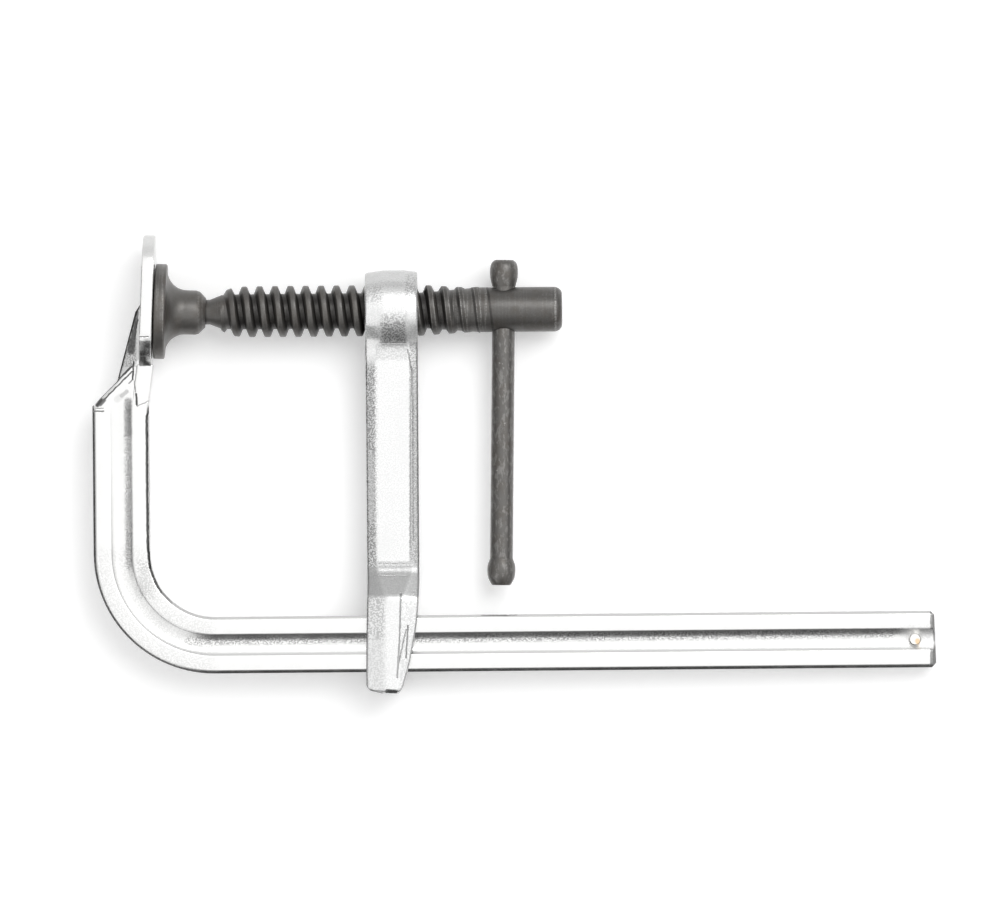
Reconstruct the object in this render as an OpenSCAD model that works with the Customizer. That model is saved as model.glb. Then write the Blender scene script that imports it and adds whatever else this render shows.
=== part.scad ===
// Bar clamp: a forged L-shaped rail with a fixed jaw, and an arm that slides on it and carries a screw.
// X runs along the rail and the screw, Y from the rail towards the screw, and Z is up, across the flat side.
// The origin is the middle of the fixed jaw's face, on the screw's axis.
// Sizes are in millimetres and angles in degrees.

/* [Rail] */
// Throat: from the screw's axis to the rail's inner edge
throat = 76.2; // [60:0.1:110]
// Reach of the rail, from the jaw's face to its free end
rail_reach = 195.2; // [150:0.1:320]
// Height of the rail's section, across the throat
rail_h = 14.1; // [12:0.1:18]
// Thickness of the rail's section
rail_t = 7.6; // [6.6:0.1:9]
// Rounding of the section's four corners
rail_corner_r = 1.0; // [0.4:0.1:1.6]
// Width of the groove along each side of the rail
groove_w = 5.5; // [4:0.1:6.6]
// Depth of that groove
groove_d = 1.0; // [0.8:0.1:2]
// Inner radius of the bend between rail and upright
bend_r = 16; // [10:0.5:24]
// How far the upright's inner face lies behind the jaw's face
upright_setback = 1.3; // [0.6:0.1:2]
// Length of the chamfer on the rail's free end
end_chamfer_l = 1.3; // [0.5:0.1:2.5]
// Depth of that chamfer, from each side
end_chamfer_d = 2; // [0.5:0.1:3]

/* [Fixed jaw] */
// Width of the jaw plate
jaw_w = 24.4; // [18:0.1:34]
// Height of the jaw plate above the screw's axis
jaw_above = 19.4; // [14:0.1:26]
// Depth of the jaw plate below the screw's axis
jaw_below = 13.9; // [13:0.1:20]
// Thickness of the jaw plate
jaw_t = 3.1; // [2.4:0.1:4.2]
// Rounding of the jaw plate's corners
jaw_corner_r = 8.8; // [2:0.1:8.8]
// Toe-in: how far the jaw's face leans towards the screw
toe_in = 2.4; // [0:0.1:3.4]
// How far the upright's shoulder runs up past the jaw plate's lower edge
shoulder_rise = 6; // [4:0.1:8]
// Fall of the shoulder from its crest to its sides
shoulder_fall = 1.4; // [0.5:0.1:3]
// Width of the shoulder's crest
crest_w = 3; // [1.5:0.1:5]
// Thickness of the back edge of the rib behind the jaw
rib_t = 1.4; // [1:0.1:4.5]
// How much thicker the rib gets with each millimetre towards the jaw
rib_flare = 0.8; // [0.4:0.05:1]
// Top of the rib on the jaw's back, above the screw's axis
rib_above = 1.1; // [-4:0.1:6]
// How far behind the jaw's face the rib's foot stands
rib_foot = 9.1; // [6:0.1:12]
// Width of the neck where it meets the jaw plate
neck_w = 11; // [8:0.1:15]
// Thickness of the neck
jaw_neck_t = 4.2; // [3.2:0.1:5.5]
// Length of the neck below the jaw plate
jaw_neck_l = 11; // [7:0.1:18]

/* [Stop pin] */
// Diameter of the stop pin
pin_d = 3.1; // [2:0.1:4]
// Distance of the pin from the rail's free end
pin_from_end = 5.7; // [4.5:0.1:12]
// How far the pin stands out of each side of the rail
pin_stand = 0.7; // [0.6:0.1:1.5]
// Chamfer on the pin's ends
pin_chamfer = 0.4; // [0.1:0.1:0.6]

/* [Sliding arm] */
// Place of the arm on the rail, from the jaw's face to the arm's near side
arm_x = 52.9; // [46:0.1:58]
// Width of the arm along the rail
arm_w = 13.1; // [12:0.1:18]
// Wall of the boss round the screw
boss_wall = 3.6; // [2.6:0.1:5]
// Thickness of the shank
shank_t = 12; // [10.5:0.1:14]
// Radius of the hollow between boss and shank
boss_hollow_r = 5; // [2:0.1:8]
// Wall of the loop at each side of the rail
loop_side_wall = 5.9; // [4.5:0.1:8]
// Wall of the loop towards the screw
loop_inner_wall = 4.6; // [4:0.1:10]
// Wall of the loop outside the rail
loop_outer_wall = 5.3; // [4:0.1:8]
// Length of the slope from shank to loop
loop_slope = 6.8; // [5:0.1:12]
// Rounding of the loop's lower edge
loop_round = 1; // [0.5:0.1:4]
// Width of the arm's lower end
toe_w = 8; // [6.5:0.1:10]
// Height of the slanted cut at the arm's lower end
toe_cut_h = 17; // [8:0.1:20]
// How much narrower the loop is than the shank, above that cut
loop_taper = 0.7; // [0:0.1:1.5]
// Width of the boss's bevel on the jaw's side
boss_near_bevel = 4.4; // [2:0.1:5]
// Width of the boss's bevel on the handle's side
boss_far_bevel = 3.3; // [2:0.1:5]
// Width of the shank's bevels on the jaw's side
shank_near_bevel = 2.3; // [1:0.1:4]
// Width of the shank's bevels on the handle's side
shank_far_bevel = 1.4; // [1:0.1:4]
// Width of the loop's bevels on the jaw's side
loop_near_bevel = 4.8; // [2:0.1:5]
// Width of the loop's bevels on the handle's side
loop_far_bevel = 3.9; // [2:0.1:5]
// Fall of all these bevels, as a share of their width
bevel_fall = 0.28; // [0.15:0.01:0.4]
// Clearance between the slot and the rail
slot_clear = 0.35; // [0.2:0.05:0.5]

/* [Spindle] */
// Outer diameter of the screw's thread
thread_d = 12.8; // [11.4:0.1:15]
// Length of the threaded stretch
thread_l = 64; // [56:0.1:100]
// Pitch of the thread
pitch = 3.84; // [3:0.01:5]
// Depth of the thread
thread_depth = 2; // [1.2:0.1:2.2]
// Width of the thread's crest
thread_crest = 1.25; // [0.8:0.05:1.4]
// Width of each of the thread's flanks
thread_flank = 0.75; // [0.4:0.05:0.8]
// Length before the thread's first full crest
run_in = 3.4; // [1:0.1:6]
// Diameter of the head
head_d = 11.2; // [9.6:0.1:12.6]
// Length of the head
head_l = 21.1; // [16:0.1:30]
// Chamfer on the head's end
head_chamfer = 1.6; // [0.4:0.1:2.2]
// Distance of the handle's hole from the head's end
hole_from_end = 14.6; // [9:0.1:15]
// Diameter of the neck behind the pad
neck_d = 6.2; // [5:0.1:6.8]
// Diameter of the shoulder between neck and thread
collar_d = 8.5; // [7.4:0.1:10]
// Distance from the ball's centre to the end of the neck
neck_l = 5.9; // [5.5:0.1:9]
// Length of the cone from neck to shoulder
collar_l = 2.9; // [1:0.1:5]
// Length over which the thread runs out to the head's diameter
run_out = 14.5; // [4:0.5:24]
// Diameter of the ball
ball_d = 8.4; // [7.8:0.1:8.8]
// Clearance between screw and boss
screw_clear = 0.1; // [0.05:0.01:0.2]

/* [Swivel pad] */
// Diameter of the pad's flange
flange_d = 23.8; // [18:0.1:30]
// Thickness of the flange
flange_t = 2.9; // [2:0.1:3.4]
// Rounding of the flange's edges
flange_round = 0.5; // [0.2:0.1:0.9]
// Diameter of the bell
bell_d = 11.1; // [10.8:0.1:13]
// Radius of the flare from flange to bell
flare_r = 5; // [4:0.1:5.2]
// Height of the bell's straight stretch above the flare
bell_l = 3; // [1:0.1:4]
// Height of the closed rim
rim_h = 1.9; // [1.5:0.1:4]
// Wall of the rim at its end
rim_wall = 0.4; // [0.3:0.1:0.9]
// Distance from the pad's face to the ball's centre
ball_seat = 8; // [6.6:0.1:9]
// Clearance round the ball
ball_clear = 0.1; // [0.05:0.01:0.2]
// Clearance round the neck, for the swivel
neck_clear = 0.4; // [0.35:0.05:0.5]
// Gap between the pad and the jaw as photographed
pad_gap = 0.2; // [0.1:0.1:3]

/* [Handle] */
// Diameter of the handle's bar
bar_d = 5.7; // [4.6:0.1:6.2]
// Length of the handle over its knobs
handle_l = 81.3; // [60:0.1:85]
// Diameter of the knobs
knob_d = 7; // [6.6:0.1:9]
// Length of the knobs
knob_l = 6.6; // [5:0.1:10]
// Diameter of the flat on a knob's outer end
knob_top_d = 4.4; // [3:0.1:5.6]
// Wall of a knob round the bar, at its open end
knob_foot_wall = 0.15; // [0.1:0.05:0.4]
// Thickness of a knob's closed end
knob_cap = 1.6; // [1:0.1:3]
// Clearance between the bar and its knobs
knob_clear = 0.02; // [0.01:0.01:0.05]
// Clearance between the bar and the head's hole
bar_clear = 0.25; // [0.15:0.05:0.35]
// Lean of the loose handle, as photographed
handle_lean = 1; // [0:0.1:1.2]
// Gap between the upper knob and the head
knob_gap = 0.2; // [0.1:0.1:1]

/* [Hidden] */
$fn = 96;
// Cuts run this far past the faces they open
over = 1;
// Half the rail's section, and the line down its middle
rail_half_h = rail_h / 2;
rail_half_t = rail_t / 2;
rail_mid_y = -throat - rail_half_h;
// Radius of the arc whose chord is the groove's width
groove_r = (groove_w * groove_w / 4 + groove_d * groove_d) / (2 * groove_d);
// The upright's inner face, and the centre of the bend
upright_x = -upright_setback;
bend_x = upright_x + bend_r;
bend_y = -throat + bend_r;
// How far the neck's ends lie inside the plate and the upright
neck_sink = 0.4;
// Thickness of the slices that a wedge or a slope is drawn between
slice = 0.1;
// Height at which the shoulder's 45-degree crest would cross the jaw's face
crest_y = shoulder_rise - jaw_below;
// Half thickness of the loop, and the boss's bore and outer radius
loop_half_t = rail_half_t + slot_clear + loop_side_wall;
bore_r = thread_d / 2 + screw_clear;
boss_r = bore_r + boss_wall;
shank_half_t = shank_t / 2;
// The arm's heights, from the screw's axis down
loop_top_y = -throat + loop_inner_wall;
slope_y = loop_top_y + loop_slope;
loop_end_y = -throat - rail_h - slot_clear - loop_outer_wall;
// Centre of the hollow's arc, which runs out on the shank and bites a little into the boss
hollow_bite = 0.15;
hollow_z = shank_half_t + boss_hollow_r;
hollow_y = -sqrt(pow(boss_r + boss_hollow_r - hollow_bite, 2) - pow(hollow_z, 2));
// How far the slope's ends lie inside the shank and the loop, and how far its faces lie under theirs
slope_sink = 0.4;
slope_skin = 0.05;
// Places along the spindle
ball_x = (pad_gap + ball_seat) / cos(toe_in);
neck_end_x = ball_x + neck_l;
thread_x = neck_end_x + collar_l;
head_x = thread_x + thread_l;
spindle_end_x = head_x + head_l;
hole_x = spindle_end_x - hole_from_end;
// The thread's ridges: a ridge's corners from its start, and how many fit before the head
ridge_x = [0, thread_flank, thread_flank + thread_crest, 2 * thread_flank + thread_crest];
ridges = 1 + floor((thread_l - run_in - ridge_x[3]) / pitch);
// How far the thread has run out at a place along the spindle, and a ridge's corner as [radius, place]
function fade(x) = max(0, x - head_x + run_out) / run_out;
function thread_r(x, full_r) = full_r + (head_d / 2 - full_r) * fade(x);
function on_ridge(x, corner) =
  [thread_r(x, thread_d / 2 - (corner == 0 || corner == 3 ? thread_depth : 0)), x];
// The pad's heights from its face: end of the flare, end of the bell and end of the rim
flare_end = flange_t + flare_r;
bell_end = flare_end + bell_l;
rim_end = bell_end + rim_h;
neck_hole_r = neck_d / 2 + neck_clear;
// The handle hangs from its upper knob, but a longer one stands higher, with its lower end clear of the rail.
// Both heights run along its own axis from the screw's
handle_rail_clear = 4;
handle_end_y = max(head_d / 2 + knob_gap + knob_l - handle_l, handle_rail_clear - throat);
upper_knob_y = handle_end_y + handle_l - knob_l;
// A knob's belly, as shares of its radius and its length
barrel = [[0.97, 0.25], [1, 0.5], [0.97, 0.7], [0.89, 0.85]];

// A rectangle round the origin with four round corners
module round_rect(width, height, radius) {
  square([width - 2 * radius, height], center = true);
  square([width, height - 2 * radius], center = true);
  for (side_x = [-1, 1], side_y = [-1, 1])
    translate([side_x * (width / 2 - radius), side_y * (height / 2 - radius)])
      circle(radius);
}

// The rail's section: rounded corners, and an arc-shaped groove in each broad side
module rail_section() {
  difference() {
    round_rect(rail_h, rail_t, rail_corner_r);
    for (side = [-1, 1])
      translate([0, side * (rail_half_t + groove_r - groove_d)])
        circle(groove_r);
  }
}

// The straight rail, chamfered on its free end
module straight_rail() {
  intersection() {
    translate([bend_x, rail_mid_y, 0])
      rotate([90, 0, 90])
        linear_extrude(rail_reach - bend_x)
          rail_section();
    translate([0, rail_mid_y, 0])
      rotate([90, 0, 0])
        linear_extrude(rail_h + 2 * over, center = true)
          polygon([
            [0, -rail_half_t],
            [rail_reach - end_chamfer_l, -rail_half_t],
            [rail_reach, end_chamfer_d - rail_half_t],
            [rail_reach, rail_half_t - end_chamfer_d],
            [rail_reach - end_chamfer_l, rail_half_t],
            [0, rail_half_t]
          ]);
    translate([0, rail_mid_y, 0])
      linear_extrude(rail_t + 2 * over, center = true)
        polygon([
          [0, -rail_half_h],
          [rail_reach - end_chamfer_l, -rail_half_h],
          [rail_reach, end_chamfer_l - rail_half_h],
          [rail_reach, rail_half_h - end_chamfer_l],
          [rail_reach - end_chamfer_l, rail_half_h],
          [0, rail_half_h]
        ]);
  }
}

// The upright leg, cut at 45 degrees to a shoulder that falls away to both sides
module upright() {
  crest_s = crest_y * cos(45);
  intersection() {
    translate([upright_x - rail_half_h, bend_y, 0])
      rotate([-90, 0, 0])
        linear_extrude(-bend_y)
          rail_section();
    rotate([0, 0, 45])
      rotate([90, 0, 90])
        linear_extrude(2 * throat, center = true)
          polygon([
            [-2 * throat, -rail_half_t - over],
            [crest_s - shoulder_fall, -rail_half_t - over],
            [crest_s - shoulder_fall, -rail_half_t],
            [crest_s, -crest_w / 2],
            [crest_s, crest_w / 2],
            [crest_s - shoulder_fall, rail_half_t],
            [crest_s - shoulder_fall, rail_half_t + over],
            [-2 * throat, rail_half_t + over]
          ]);
  }
}

// The jaw plate, leaning by the toe-in about the middle of its face
module jaw_plate() {
  rotate([0, 0, -toe_in])
    translate([-jaw_t, (jaw_above - jaw_below) / 2, 0])
      rotate([90, 0, 90])
        linear_extrude(jaw_t)
          round_rect(jaw_above + jaw_below, jaw_w, jaw_corner_r);
}

// The neck that carries the plate on the upright's inner edge. It widens towards the plate,
// and its foot runs out inside the upright
module jaw_neck() {
  foot_y = -jaw_below - jaw_neck_l;
  hull() {
    rotate([0, 0, -toe_in])
      translate([-jaw_neck_t, neck_sink - jaw_below, -neck_w / 2])
        cube([jaw_neck_t - neck_sink, over, neck_w]);
    translate([upright_x - jaw_neck_t, foot_y, neck_sink - rail_half_t])
      cube([jaw_neck_t - neck_sink, over, rail_t - 2 * neck_sink]);
  }
}

// A level slice of the rib, which widens from its back edge to the middle of the jaw plate
module rib_slice(height, back_x) {
  front_x = -jaw_t / 2;
  front_half_t = rib_t / 2 + rib_flare * (front_x - back_x) / 2;
  translate([0, height, 0])
    rotate([90, 0, 0])
      linear_extrude(slice)
        polygon([
          [back_x, -rib_t / 2],
          [front_x, -front_half_t],
          [front_x, front_half_t],
          [back_x, rib_t / 2]
        ]);
}

// The rib that backs the jaw plate and runs down into the shoulder, a wedge with a thin back edge
module jaw_rib() {
  foot_y = crest_y - rib_foot;
  hull() {
    rib_slice(rib_above, -jaw_t);
    rib_slice(foot_y, -rib_foot);
    rib_slice(foot_y - shoulder_fall - over, -rib_foot);
  }
}

// The rail, its bend, the upright and the fixed jaw are one forging
module rail() {
  color("gainsboro")
    difference() {
      union() {
        straight_rail();
        translate([bend_x, bend_y, 0])
          rotate_extrude(angle = 90, start = 180)
            translate([bend_r + rail_half_h, 0])
              rail_section();
        upright();
        jaw_plate();
        jaw_neck();
        jaw_rib();
      }
      translate([rail_reach - pin_from_end, rail_mid_y, 0])
        cylinder(d = pin_d, h = rail_t + 2 * over, center = true);
    }
}

// The pin that keeps the arm on the rail, standing out of both sides
module stop_pin() {
  half_l = rail_half_t + pin_stand;
  color("peru")
    translate([rail_reach - pin_from_end, rail_mid_y, 0])
      rotate_extrude()
        polygon([
          [0, -half_l],
          [pin_d / 2 - pin_chamfer, -half_l],
          [pin_d / 2, pin_chamfer - half_l],
          [pin_d / 2, half_l - pin_chamfer],
          [pin_d / 2 - pin_chamfer, half_l],
          [0, half_l]
        ]);
}

// The boss round the screw, bevelled on both sides
module arm_boss() {
  rotate([90, 0, 90])
    rotate_extrude()
      polygon([
        [0, 0],
        [boss_r - boss_near_bevel * bevel_fall, 0],
        [boss_r, boss_near_bevel],
        [boss_r, arm_w - boss_far_bevel],
        [boss_r - boss_far_bevel * bevel_fall, arm_w],
        [0, arm_w]
      ]);
}

// The hollows that run from the boss to the shank, between the shank's bevels
module boss_hollows() {
  rotate([90, 0, 90])
    translate([0, 0, shank_near_bevel])
      linear_extrude(arm_w - shank_near_bevel - shank_far_bevel)
        difference() {
          polygon([[0, 0], [hollow_y, hollow_z], [hollow_y, -hollow_z]]);
          for (side = [-1, 1])
            translate([hollow_y, side * hollow_z])
              circle(boss_hollow_r);
        }
}

// A stretch of the arm, down from the screw's axis: a bar with a bevel along each edge
module arm_stretch(length, half_t, width, near_w, far_w) {
  near_z = half_t - near_w * bevel_fall;
  far_z = half_t - far_w * bevel_fall;
  translate([(arm_w - width) / 2, 0, 0])
    rotate([90, 0, 0])
      linear_extrude(length)
        polygon([
          [0, -near_z],
          [near_w, -half_t],
          [width - far_w, -half_t],
          [width, -far_z],
          [width, far_z],
          [width - far_w, half_t],
          [near_w, half_t],
          [0, near_z]
        ]);
}

// The slope between shank and loop
module arm_slope() {
  width = arm_w - 2 * slope_skin;
  hull() {
    translate([0, slope_y + slope_sink, 0])
      arm_stretch(slice, shank_half_t - slope_skin, width, shank_near_bevel, shank_far_bevel);
    translate([0, loop_top_y - slope_sink, 0])
      arm_stretch(slice, loop_half_t - slope_skin, width, loop_near_bevel, loop_far_bevel);
  }
}

// The loop round the rail, narrowed towards its toe and eased along its lower edges
module arm_loop() {
  far_x = arm_w - loop_taper;
  intersection() {
    translate([0, loop_top_y, 0])
      arm_stretch(loop_top_y - loop_end_y, loop_half_t, arm_w, loop_near_bevel, loop_far_bevel);
    linear_extrude(2 * loop_half_t + 2 * over, center = true)
      polygon([
        [-over, loop_end_y - over],
        [toe_w, loop_end_y - over],
        [toe_w, loop_end_y],
        [far_x, loop_end_y + toe_cut_h],
        [arm_w, loop_top_y],
        [arm_w, loop_top_y + over],
        [-over, loop_top_y + over]
      ]);
    rotate([90, 0, 90])
      translate([0, 0, -over])
        linear_extrude(arm_w + 2 * over)
          polygon([
            [loop_end_y, loop_round - loop_half_t],
            [loop_end_y + loop_round, -loop_half_t],
            [loop_end_y + loop_round, -loop_half_t - over],
            [loop_top_y + over, -loop_half_t - over],
            [loop_top_y + over, loop_half_t + over],
            [loop_end_y + loop_round, loop_half_t + over],
            [loop_end_y + loop_round, loop_half_t],
            [loop_end_y, loop_half_t - loop_round]
          ]);
  }
}

// The arm: boss, shank, slope and loop, slotted for the rail and bored for the screw
module sliding_arm() {
  color("silver")
    translate([arm_x, 0, 0])
      difference() {
        union() {
          arm_boss();
          boss_hollows();
          arm_stretch(-slope_y, shank_half_t, arm_w, shank_near_bevel, shank_far_bevel);
          arm_slope();
          arm_loop();
        }
        rotate([0, 90, 0])
          translate([0, 0, -over])
            cylinder(r = bore_r, h = arm_w + 2 * over);
        translate([-over, rail_mid_y - rail_half_h - slot_clear, -rail_half_t - slot_clear])
          cube([arm_w + 2 * over, rail_h + 2 * slot_clear, rail_t + 2 * slot_clear]);
      }
}

// The spindle: ball, neck, shoulder, thread as a row of ridges, and the drilled head
module spindle() {
  color("dimgray")
    difference() {
      union() {
        translate([ball_x, 0, 0])
          sphere(d = ball_d);
        rotate([90, 0, 90])
          rotate_extrude()
            polygon(concat(
              [
                [0, ball_x],
                [neck_d / 2, ball_x],
                [neck_d / 2, neck_end_x],
                [collar_d / 2, thread_x]
              ],
              [
                for (ridge = [0:ridges - 1], corner = [0:3])
                  on_ridge(thread_x + run_in + ridge * pitch + ridge_x[corner], corner)
              ],
              [
                [head_d / 2, head_x],
                [head_d / 2, spindle_end_x - head_chamfer],
                [head_d / 2 - head_chamfer, spindle_end_x],
                [0, spindle_end_x]
              ]
            ));
      }
      translate([hole_x, 0, 0])
        rotate([90, 0, 0])
          cylinder(d = bar_d + 2 * bar_clear, h = head_d + 2 * over, center = true);
    }
}

// Half the pad's outline: flange, flare, bell and the rim that closes towards the neck
module pad_outline() {
  flange_r = flange_d / 2;
  bell_r = bell_d / 2;
  square([flange_r - flange_round, flange_t]);
  translate([0, flange_round])
    square([flange_r, flange_t - 2 * flange_round]);
  for (edge = [flange_round, flange_t - flange_round])
    translate([flange_r - flange_round, edge])
      circle(flange_round);
  difference() {
    square([bell_r + flare_r, flare_end]);
    translate([bell_r + flare_r, flare_end])
      circle(flare_r);
  }
  square([bell_r, bell_end]);
  polygon([
    [0, bell_end],
    [bell_r, bell_end],
    [neck_hole_r + rim_wall, rim_end],
    [0, rim_end]
  ]);
}

// The pad, hollowed for the ball and open round the neck, lying flat on the leaning jaw
module swivel_pad() {
  color("dimgray")
    translate([ball_x, 0, 0])
      rotate([0, 0, -toe_in])
        rotate([90, 0, 90])
          translate([0, 0, -ball_seat])
            difference() {
              rotate_extrude()
                pad_outline();
              translate([0, 0, ball_seat])
                sphere(d = ball_d + 2 * ball_clear);
              translate([0, 0, ball_seat])
                cylinder(r = neck_hole_r, h = rim_end - ball_seat + over);
            }
}

// Puts a piece of the handle on its axis: Z of the piece runs up the handle from the screw's axis
module on_handle() {
  translate([hole_x, 0, 0])
    rotate([0, 0, -handle_lean])
      rotate([-90, 0, 0])
        children();
}

// The plain bar, reaching into both knobs
module handle_bar() {
  color("dimgray")
    on_handle()
      translate([0, 0, handle_end_y + knob_cap])
        cylinder(d = bar_d, h = handle_l - 2 * knob_cap);
}

// A barrel-shaped knob with its closed end up and its bore open below
module knob() {
  knob_r = knob_d / 2;
  difference() {
    rotate_extrude()
      polygon([
        [0, 0],
        [bar_d / 2 + knob_clear + knob_foot_wall, 0],
        for (point = barrel) [point[0] * knob_r, point[1] * knob_l],
        [knob_top_d / 2, knob_l],
        [0, knob_l]
      ]);
    translate([0, 0, -over])
      cylinder(r = bar_d / 2 + knob_clear, h = knob_l - knob_cap + over);
  }
}

// The knob that rests on the head
module upper_knob() {
  color("dimgray")
    on_handle()
      translate([0, 0, upper_knob_y])
        knob();
}

// The knob at the hanging end
module lower_knob() {
  color("dimgray")
    on_handle()
      translate([0, 0, handle_end_y + knob_l])
        mirror([0, 0, 1])
          knob();
}

rail();
stop_pin();
sliding_arm();
spindle();
swivel_pad();
handle_bar();
upper_knob();
lower_knob();
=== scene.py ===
# %% [markdown]
# # Dressing a bar clamp
# The clamp is an L-shaped forged rail with a jaw, and an arm that slides on it and carries a coarse screw.
# Its pieces are already packed at their real size as a frame. Here each one is modelled again with soft
# edges, a true thread and a plated or blackened finish, and laid on a pale floor under soft light.

# %% Load the frame
import math

import bmesh
import bpy
import numpy as np
from mathutils import Matrix, Vector


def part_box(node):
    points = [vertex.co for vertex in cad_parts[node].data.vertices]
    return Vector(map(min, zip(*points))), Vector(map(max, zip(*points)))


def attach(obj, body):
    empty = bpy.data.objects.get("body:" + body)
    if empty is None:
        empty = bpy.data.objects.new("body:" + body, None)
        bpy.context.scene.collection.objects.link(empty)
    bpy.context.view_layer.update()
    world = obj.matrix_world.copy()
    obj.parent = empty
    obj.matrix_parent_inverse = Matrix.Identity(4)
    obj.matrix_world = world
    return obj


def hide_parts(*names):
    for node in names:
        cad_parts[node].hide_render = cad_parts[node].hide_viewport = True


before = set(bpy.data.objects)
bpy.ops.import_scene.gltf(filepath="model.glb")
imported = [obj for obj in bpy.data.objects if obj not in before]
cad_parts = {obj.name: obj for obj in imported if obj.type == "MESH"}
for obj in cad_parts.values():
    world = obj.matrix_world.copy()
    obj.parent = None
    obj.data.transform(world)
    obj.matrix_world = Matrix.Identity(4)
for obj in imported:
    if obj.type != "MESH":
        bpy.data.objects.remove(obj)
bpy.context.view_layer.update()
MM = 0.001

# %% [markdown]
# ## Camera
# The photograph looks straight down on the clamp from a few metres. At 4 pixels to the millimetre a picture
# 1000 pixels wide covers 250 mm of floor, and the lens follows from that width and the height.
# A camera that isn't turned looks along -Z with +Y up, so only a slight roll is needed.

# %% Set the camera
PHOTO_W = 1000
PHOTO_H = 900
PX_PER_MM = 4.0
CAMERA_HEIGHT = 3.0
CAMERA_ROLL = math.radians(-0.5)
view_middle = Vector((86.3 * MM, -35.1 * MM, 0))

scene = bpy.context.scene
camera = bpy.data.objects.new("camera", bpy.data.cameras.new("camera"))
scene.collection.objects.link(camera)
camera.location = view_middle + Vector((0, 0, CAMERA_HEIGHT))
camera.rotation_euler.z = CAMERA_ROLL
camera.data.sensor_width = 36
camera.data.lens = camera.data.sensor_width * CAMERA_HEIGHT / (PHOTO_W / PX_PER_MM * MM)
scene.camera = camera
scene.view_settings.view_transform = "Standard"


def seen_at(across, down):
    """The place in the part's plane that the photograph shows at a pixel."""
    shift = Vector((across - PHOTO_W / 2, PHOTO_H / 2 - down)) / PX_PER_MM * MM
    shift.rotate(Matrix.Rotation(CAMERA_ROLL, 2))
    return view_middle + shift.to_3d()


print("lens:", round(camera.data.lens, 1), "mm")

# %% [markdown]
# ## Shader maths in Python
# A finish is a tree of nodes. Wiring it by hand hides the formula, so a socket is wrapped in a small class
# whose operators add the Math nodes: `1 - mask` reads as it should. Every other kind of node comes from one
# method, which sets the node's own settings first and then feeds its sockets with values or with wires.

# %% A socket with arithmetic, and a tree of nodes


class Wire:
    """One output socket, with the arithmetic that the finishes use."""

    def __init__(self, tree, socket):
        self.tree = tree
        self.socket = socket

    def math(self, operation, first, second):
        return self.tree.node("ShaderNodeMath", {"operation": operation}, {0: first, 1: second})

    def __add__(self, other):
        return self.math("ADD", self, other)

    def __radd__(self, other):
        return self.math("ADD", other, self)

    def __sub__(self, other):
        return self.math("SUBTRACT", self, other)

    def __rsub__(self, other):
        return self.math("SUBTRACT", other, self)

    def __mul__(self, other):
        return self.math("MULTIPLY", self, other)

    def __rmul__(self, other):
        return self.math("MULTIPLY", other, self)


class NodeTree:
    """The nodes of one material or world, with a shader that ends in its output."""

    def __init__(self, owner):
        owner.use_nodes = True
        self.tree = owner.node_tree
        self.tree.nodes.clear()

    def node(self, kind, settings=None, inputs=None, output=0):
        made = self.tree.nodes.new(kind)
        for name, value in (settings or {}).items():
            setattr(made, name, value)
        for name, value in (inputs or {}).items():
            socket = made.inputs[name]
            if isinstance(value, Wire):
                self.tree.links.new(value.socket, socket)
            else:
                socket.default_value = value
        return Wire(self, made.outputs[output])

    def ramp(self, value, low, high):
        """0 where the value is at low, 1 where it is at high, with a smooth rise between."""
        return self.node(
            "ShaderNodeMapRange",
            {"interpolation_type": "SMOOTHSTEP"},
            {"Value": value, "From Min": low, "From Max": high},
        )

    def noise(self, place, size, detail=2.0, roughness=0.5):
        """Soft lumps of about the given size in metres, from 0 to 1."""
        return self.node(
            "ShaderNodeTexNoise",
            None,
            {"Vector": place, "Scale": 1 / size, "Detail": detail, "Roughness": roughness},
        )

    def mix(self, factor, first, second):
        """One colour over another."""
        return self.node("ShaderNodeMix", {"data_type": "RGBA"}, {0: factor, 6: first, 7: second}, 2)

    def axis(self, place, name):
        """One coordinate of a place."""
        return self.node("ShaderNodeSeparateXYZ", None, {0: place}, name)

    def vector(self, operation, first, second, output=0):
        """Arithmetic on two places."""
        return self.node("ShaderNodeVectorMath", {"operation": operation}, {0: first, 1: second}, output)

    def end(self, shader, kind="ShaderNodeOutputMaterial"):
        output = self.tree.nodes.new(kind)
        self.tree.links.new(shader.socket, output.inputs["Surface"])


print("shader maths is ready")

# %% [markdown]
# ## Light
# Bright plating shows its surroundings, so its look is mostly the studio's. The clamp lay in an even white
# light, and only a bright ceiling makes grey metal look white. The dark lines along the rail come from the
# darker room in front of it and low down round it, the bright bend from a lit corner, and the grey of its
# left faces from a paler left side. A picture of a studio would fix all that at once. So the world is plain
# white, one large softbox gives the shadows a side, and cards with soft edges stand round the clamp and
# hang over it, as photographers place them. Only gloss sees the cards, so they hide nothing.

# %% White surroundings and a softbox
WORLD_LEVEL = 0.78
SOFTBOX_SIZE = 0.8
SOFTBOX_PLACE = Vector((0.42, 0.42, 1.15))
SOFTBOX_POWER = 8


def seen_directly(nodes):
    """1 for what the camera sees, and for what gloss and glass show, and 0 for light that is scattered."""
    path = "ShaderNodeLightPath"
    camera_ray = nodes.node(path, output="Is Camera Ray")
    glossy_ray = nodes.node(path, output="Is Glossy Ray")
    clear_ray = nodes.node(path, output="Is Transmission Ray")
    return camera_ray + glossy_ray + clear_ray


scene.world = bpy.data.worlds.new("white_studio")
sky = NodeTree(scene.world)
sky_level = WORLD_LEVEL + (1 - WORLD_LEVEL) * seen_directly(sky)
sky_light = sky.node("ShaderNodeBackground", None, {"Color": (1, 1, 1, 1), "Strength": sky_level})
sky.end(sky_light, "ShaderNodeOutputWorld")

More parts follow.
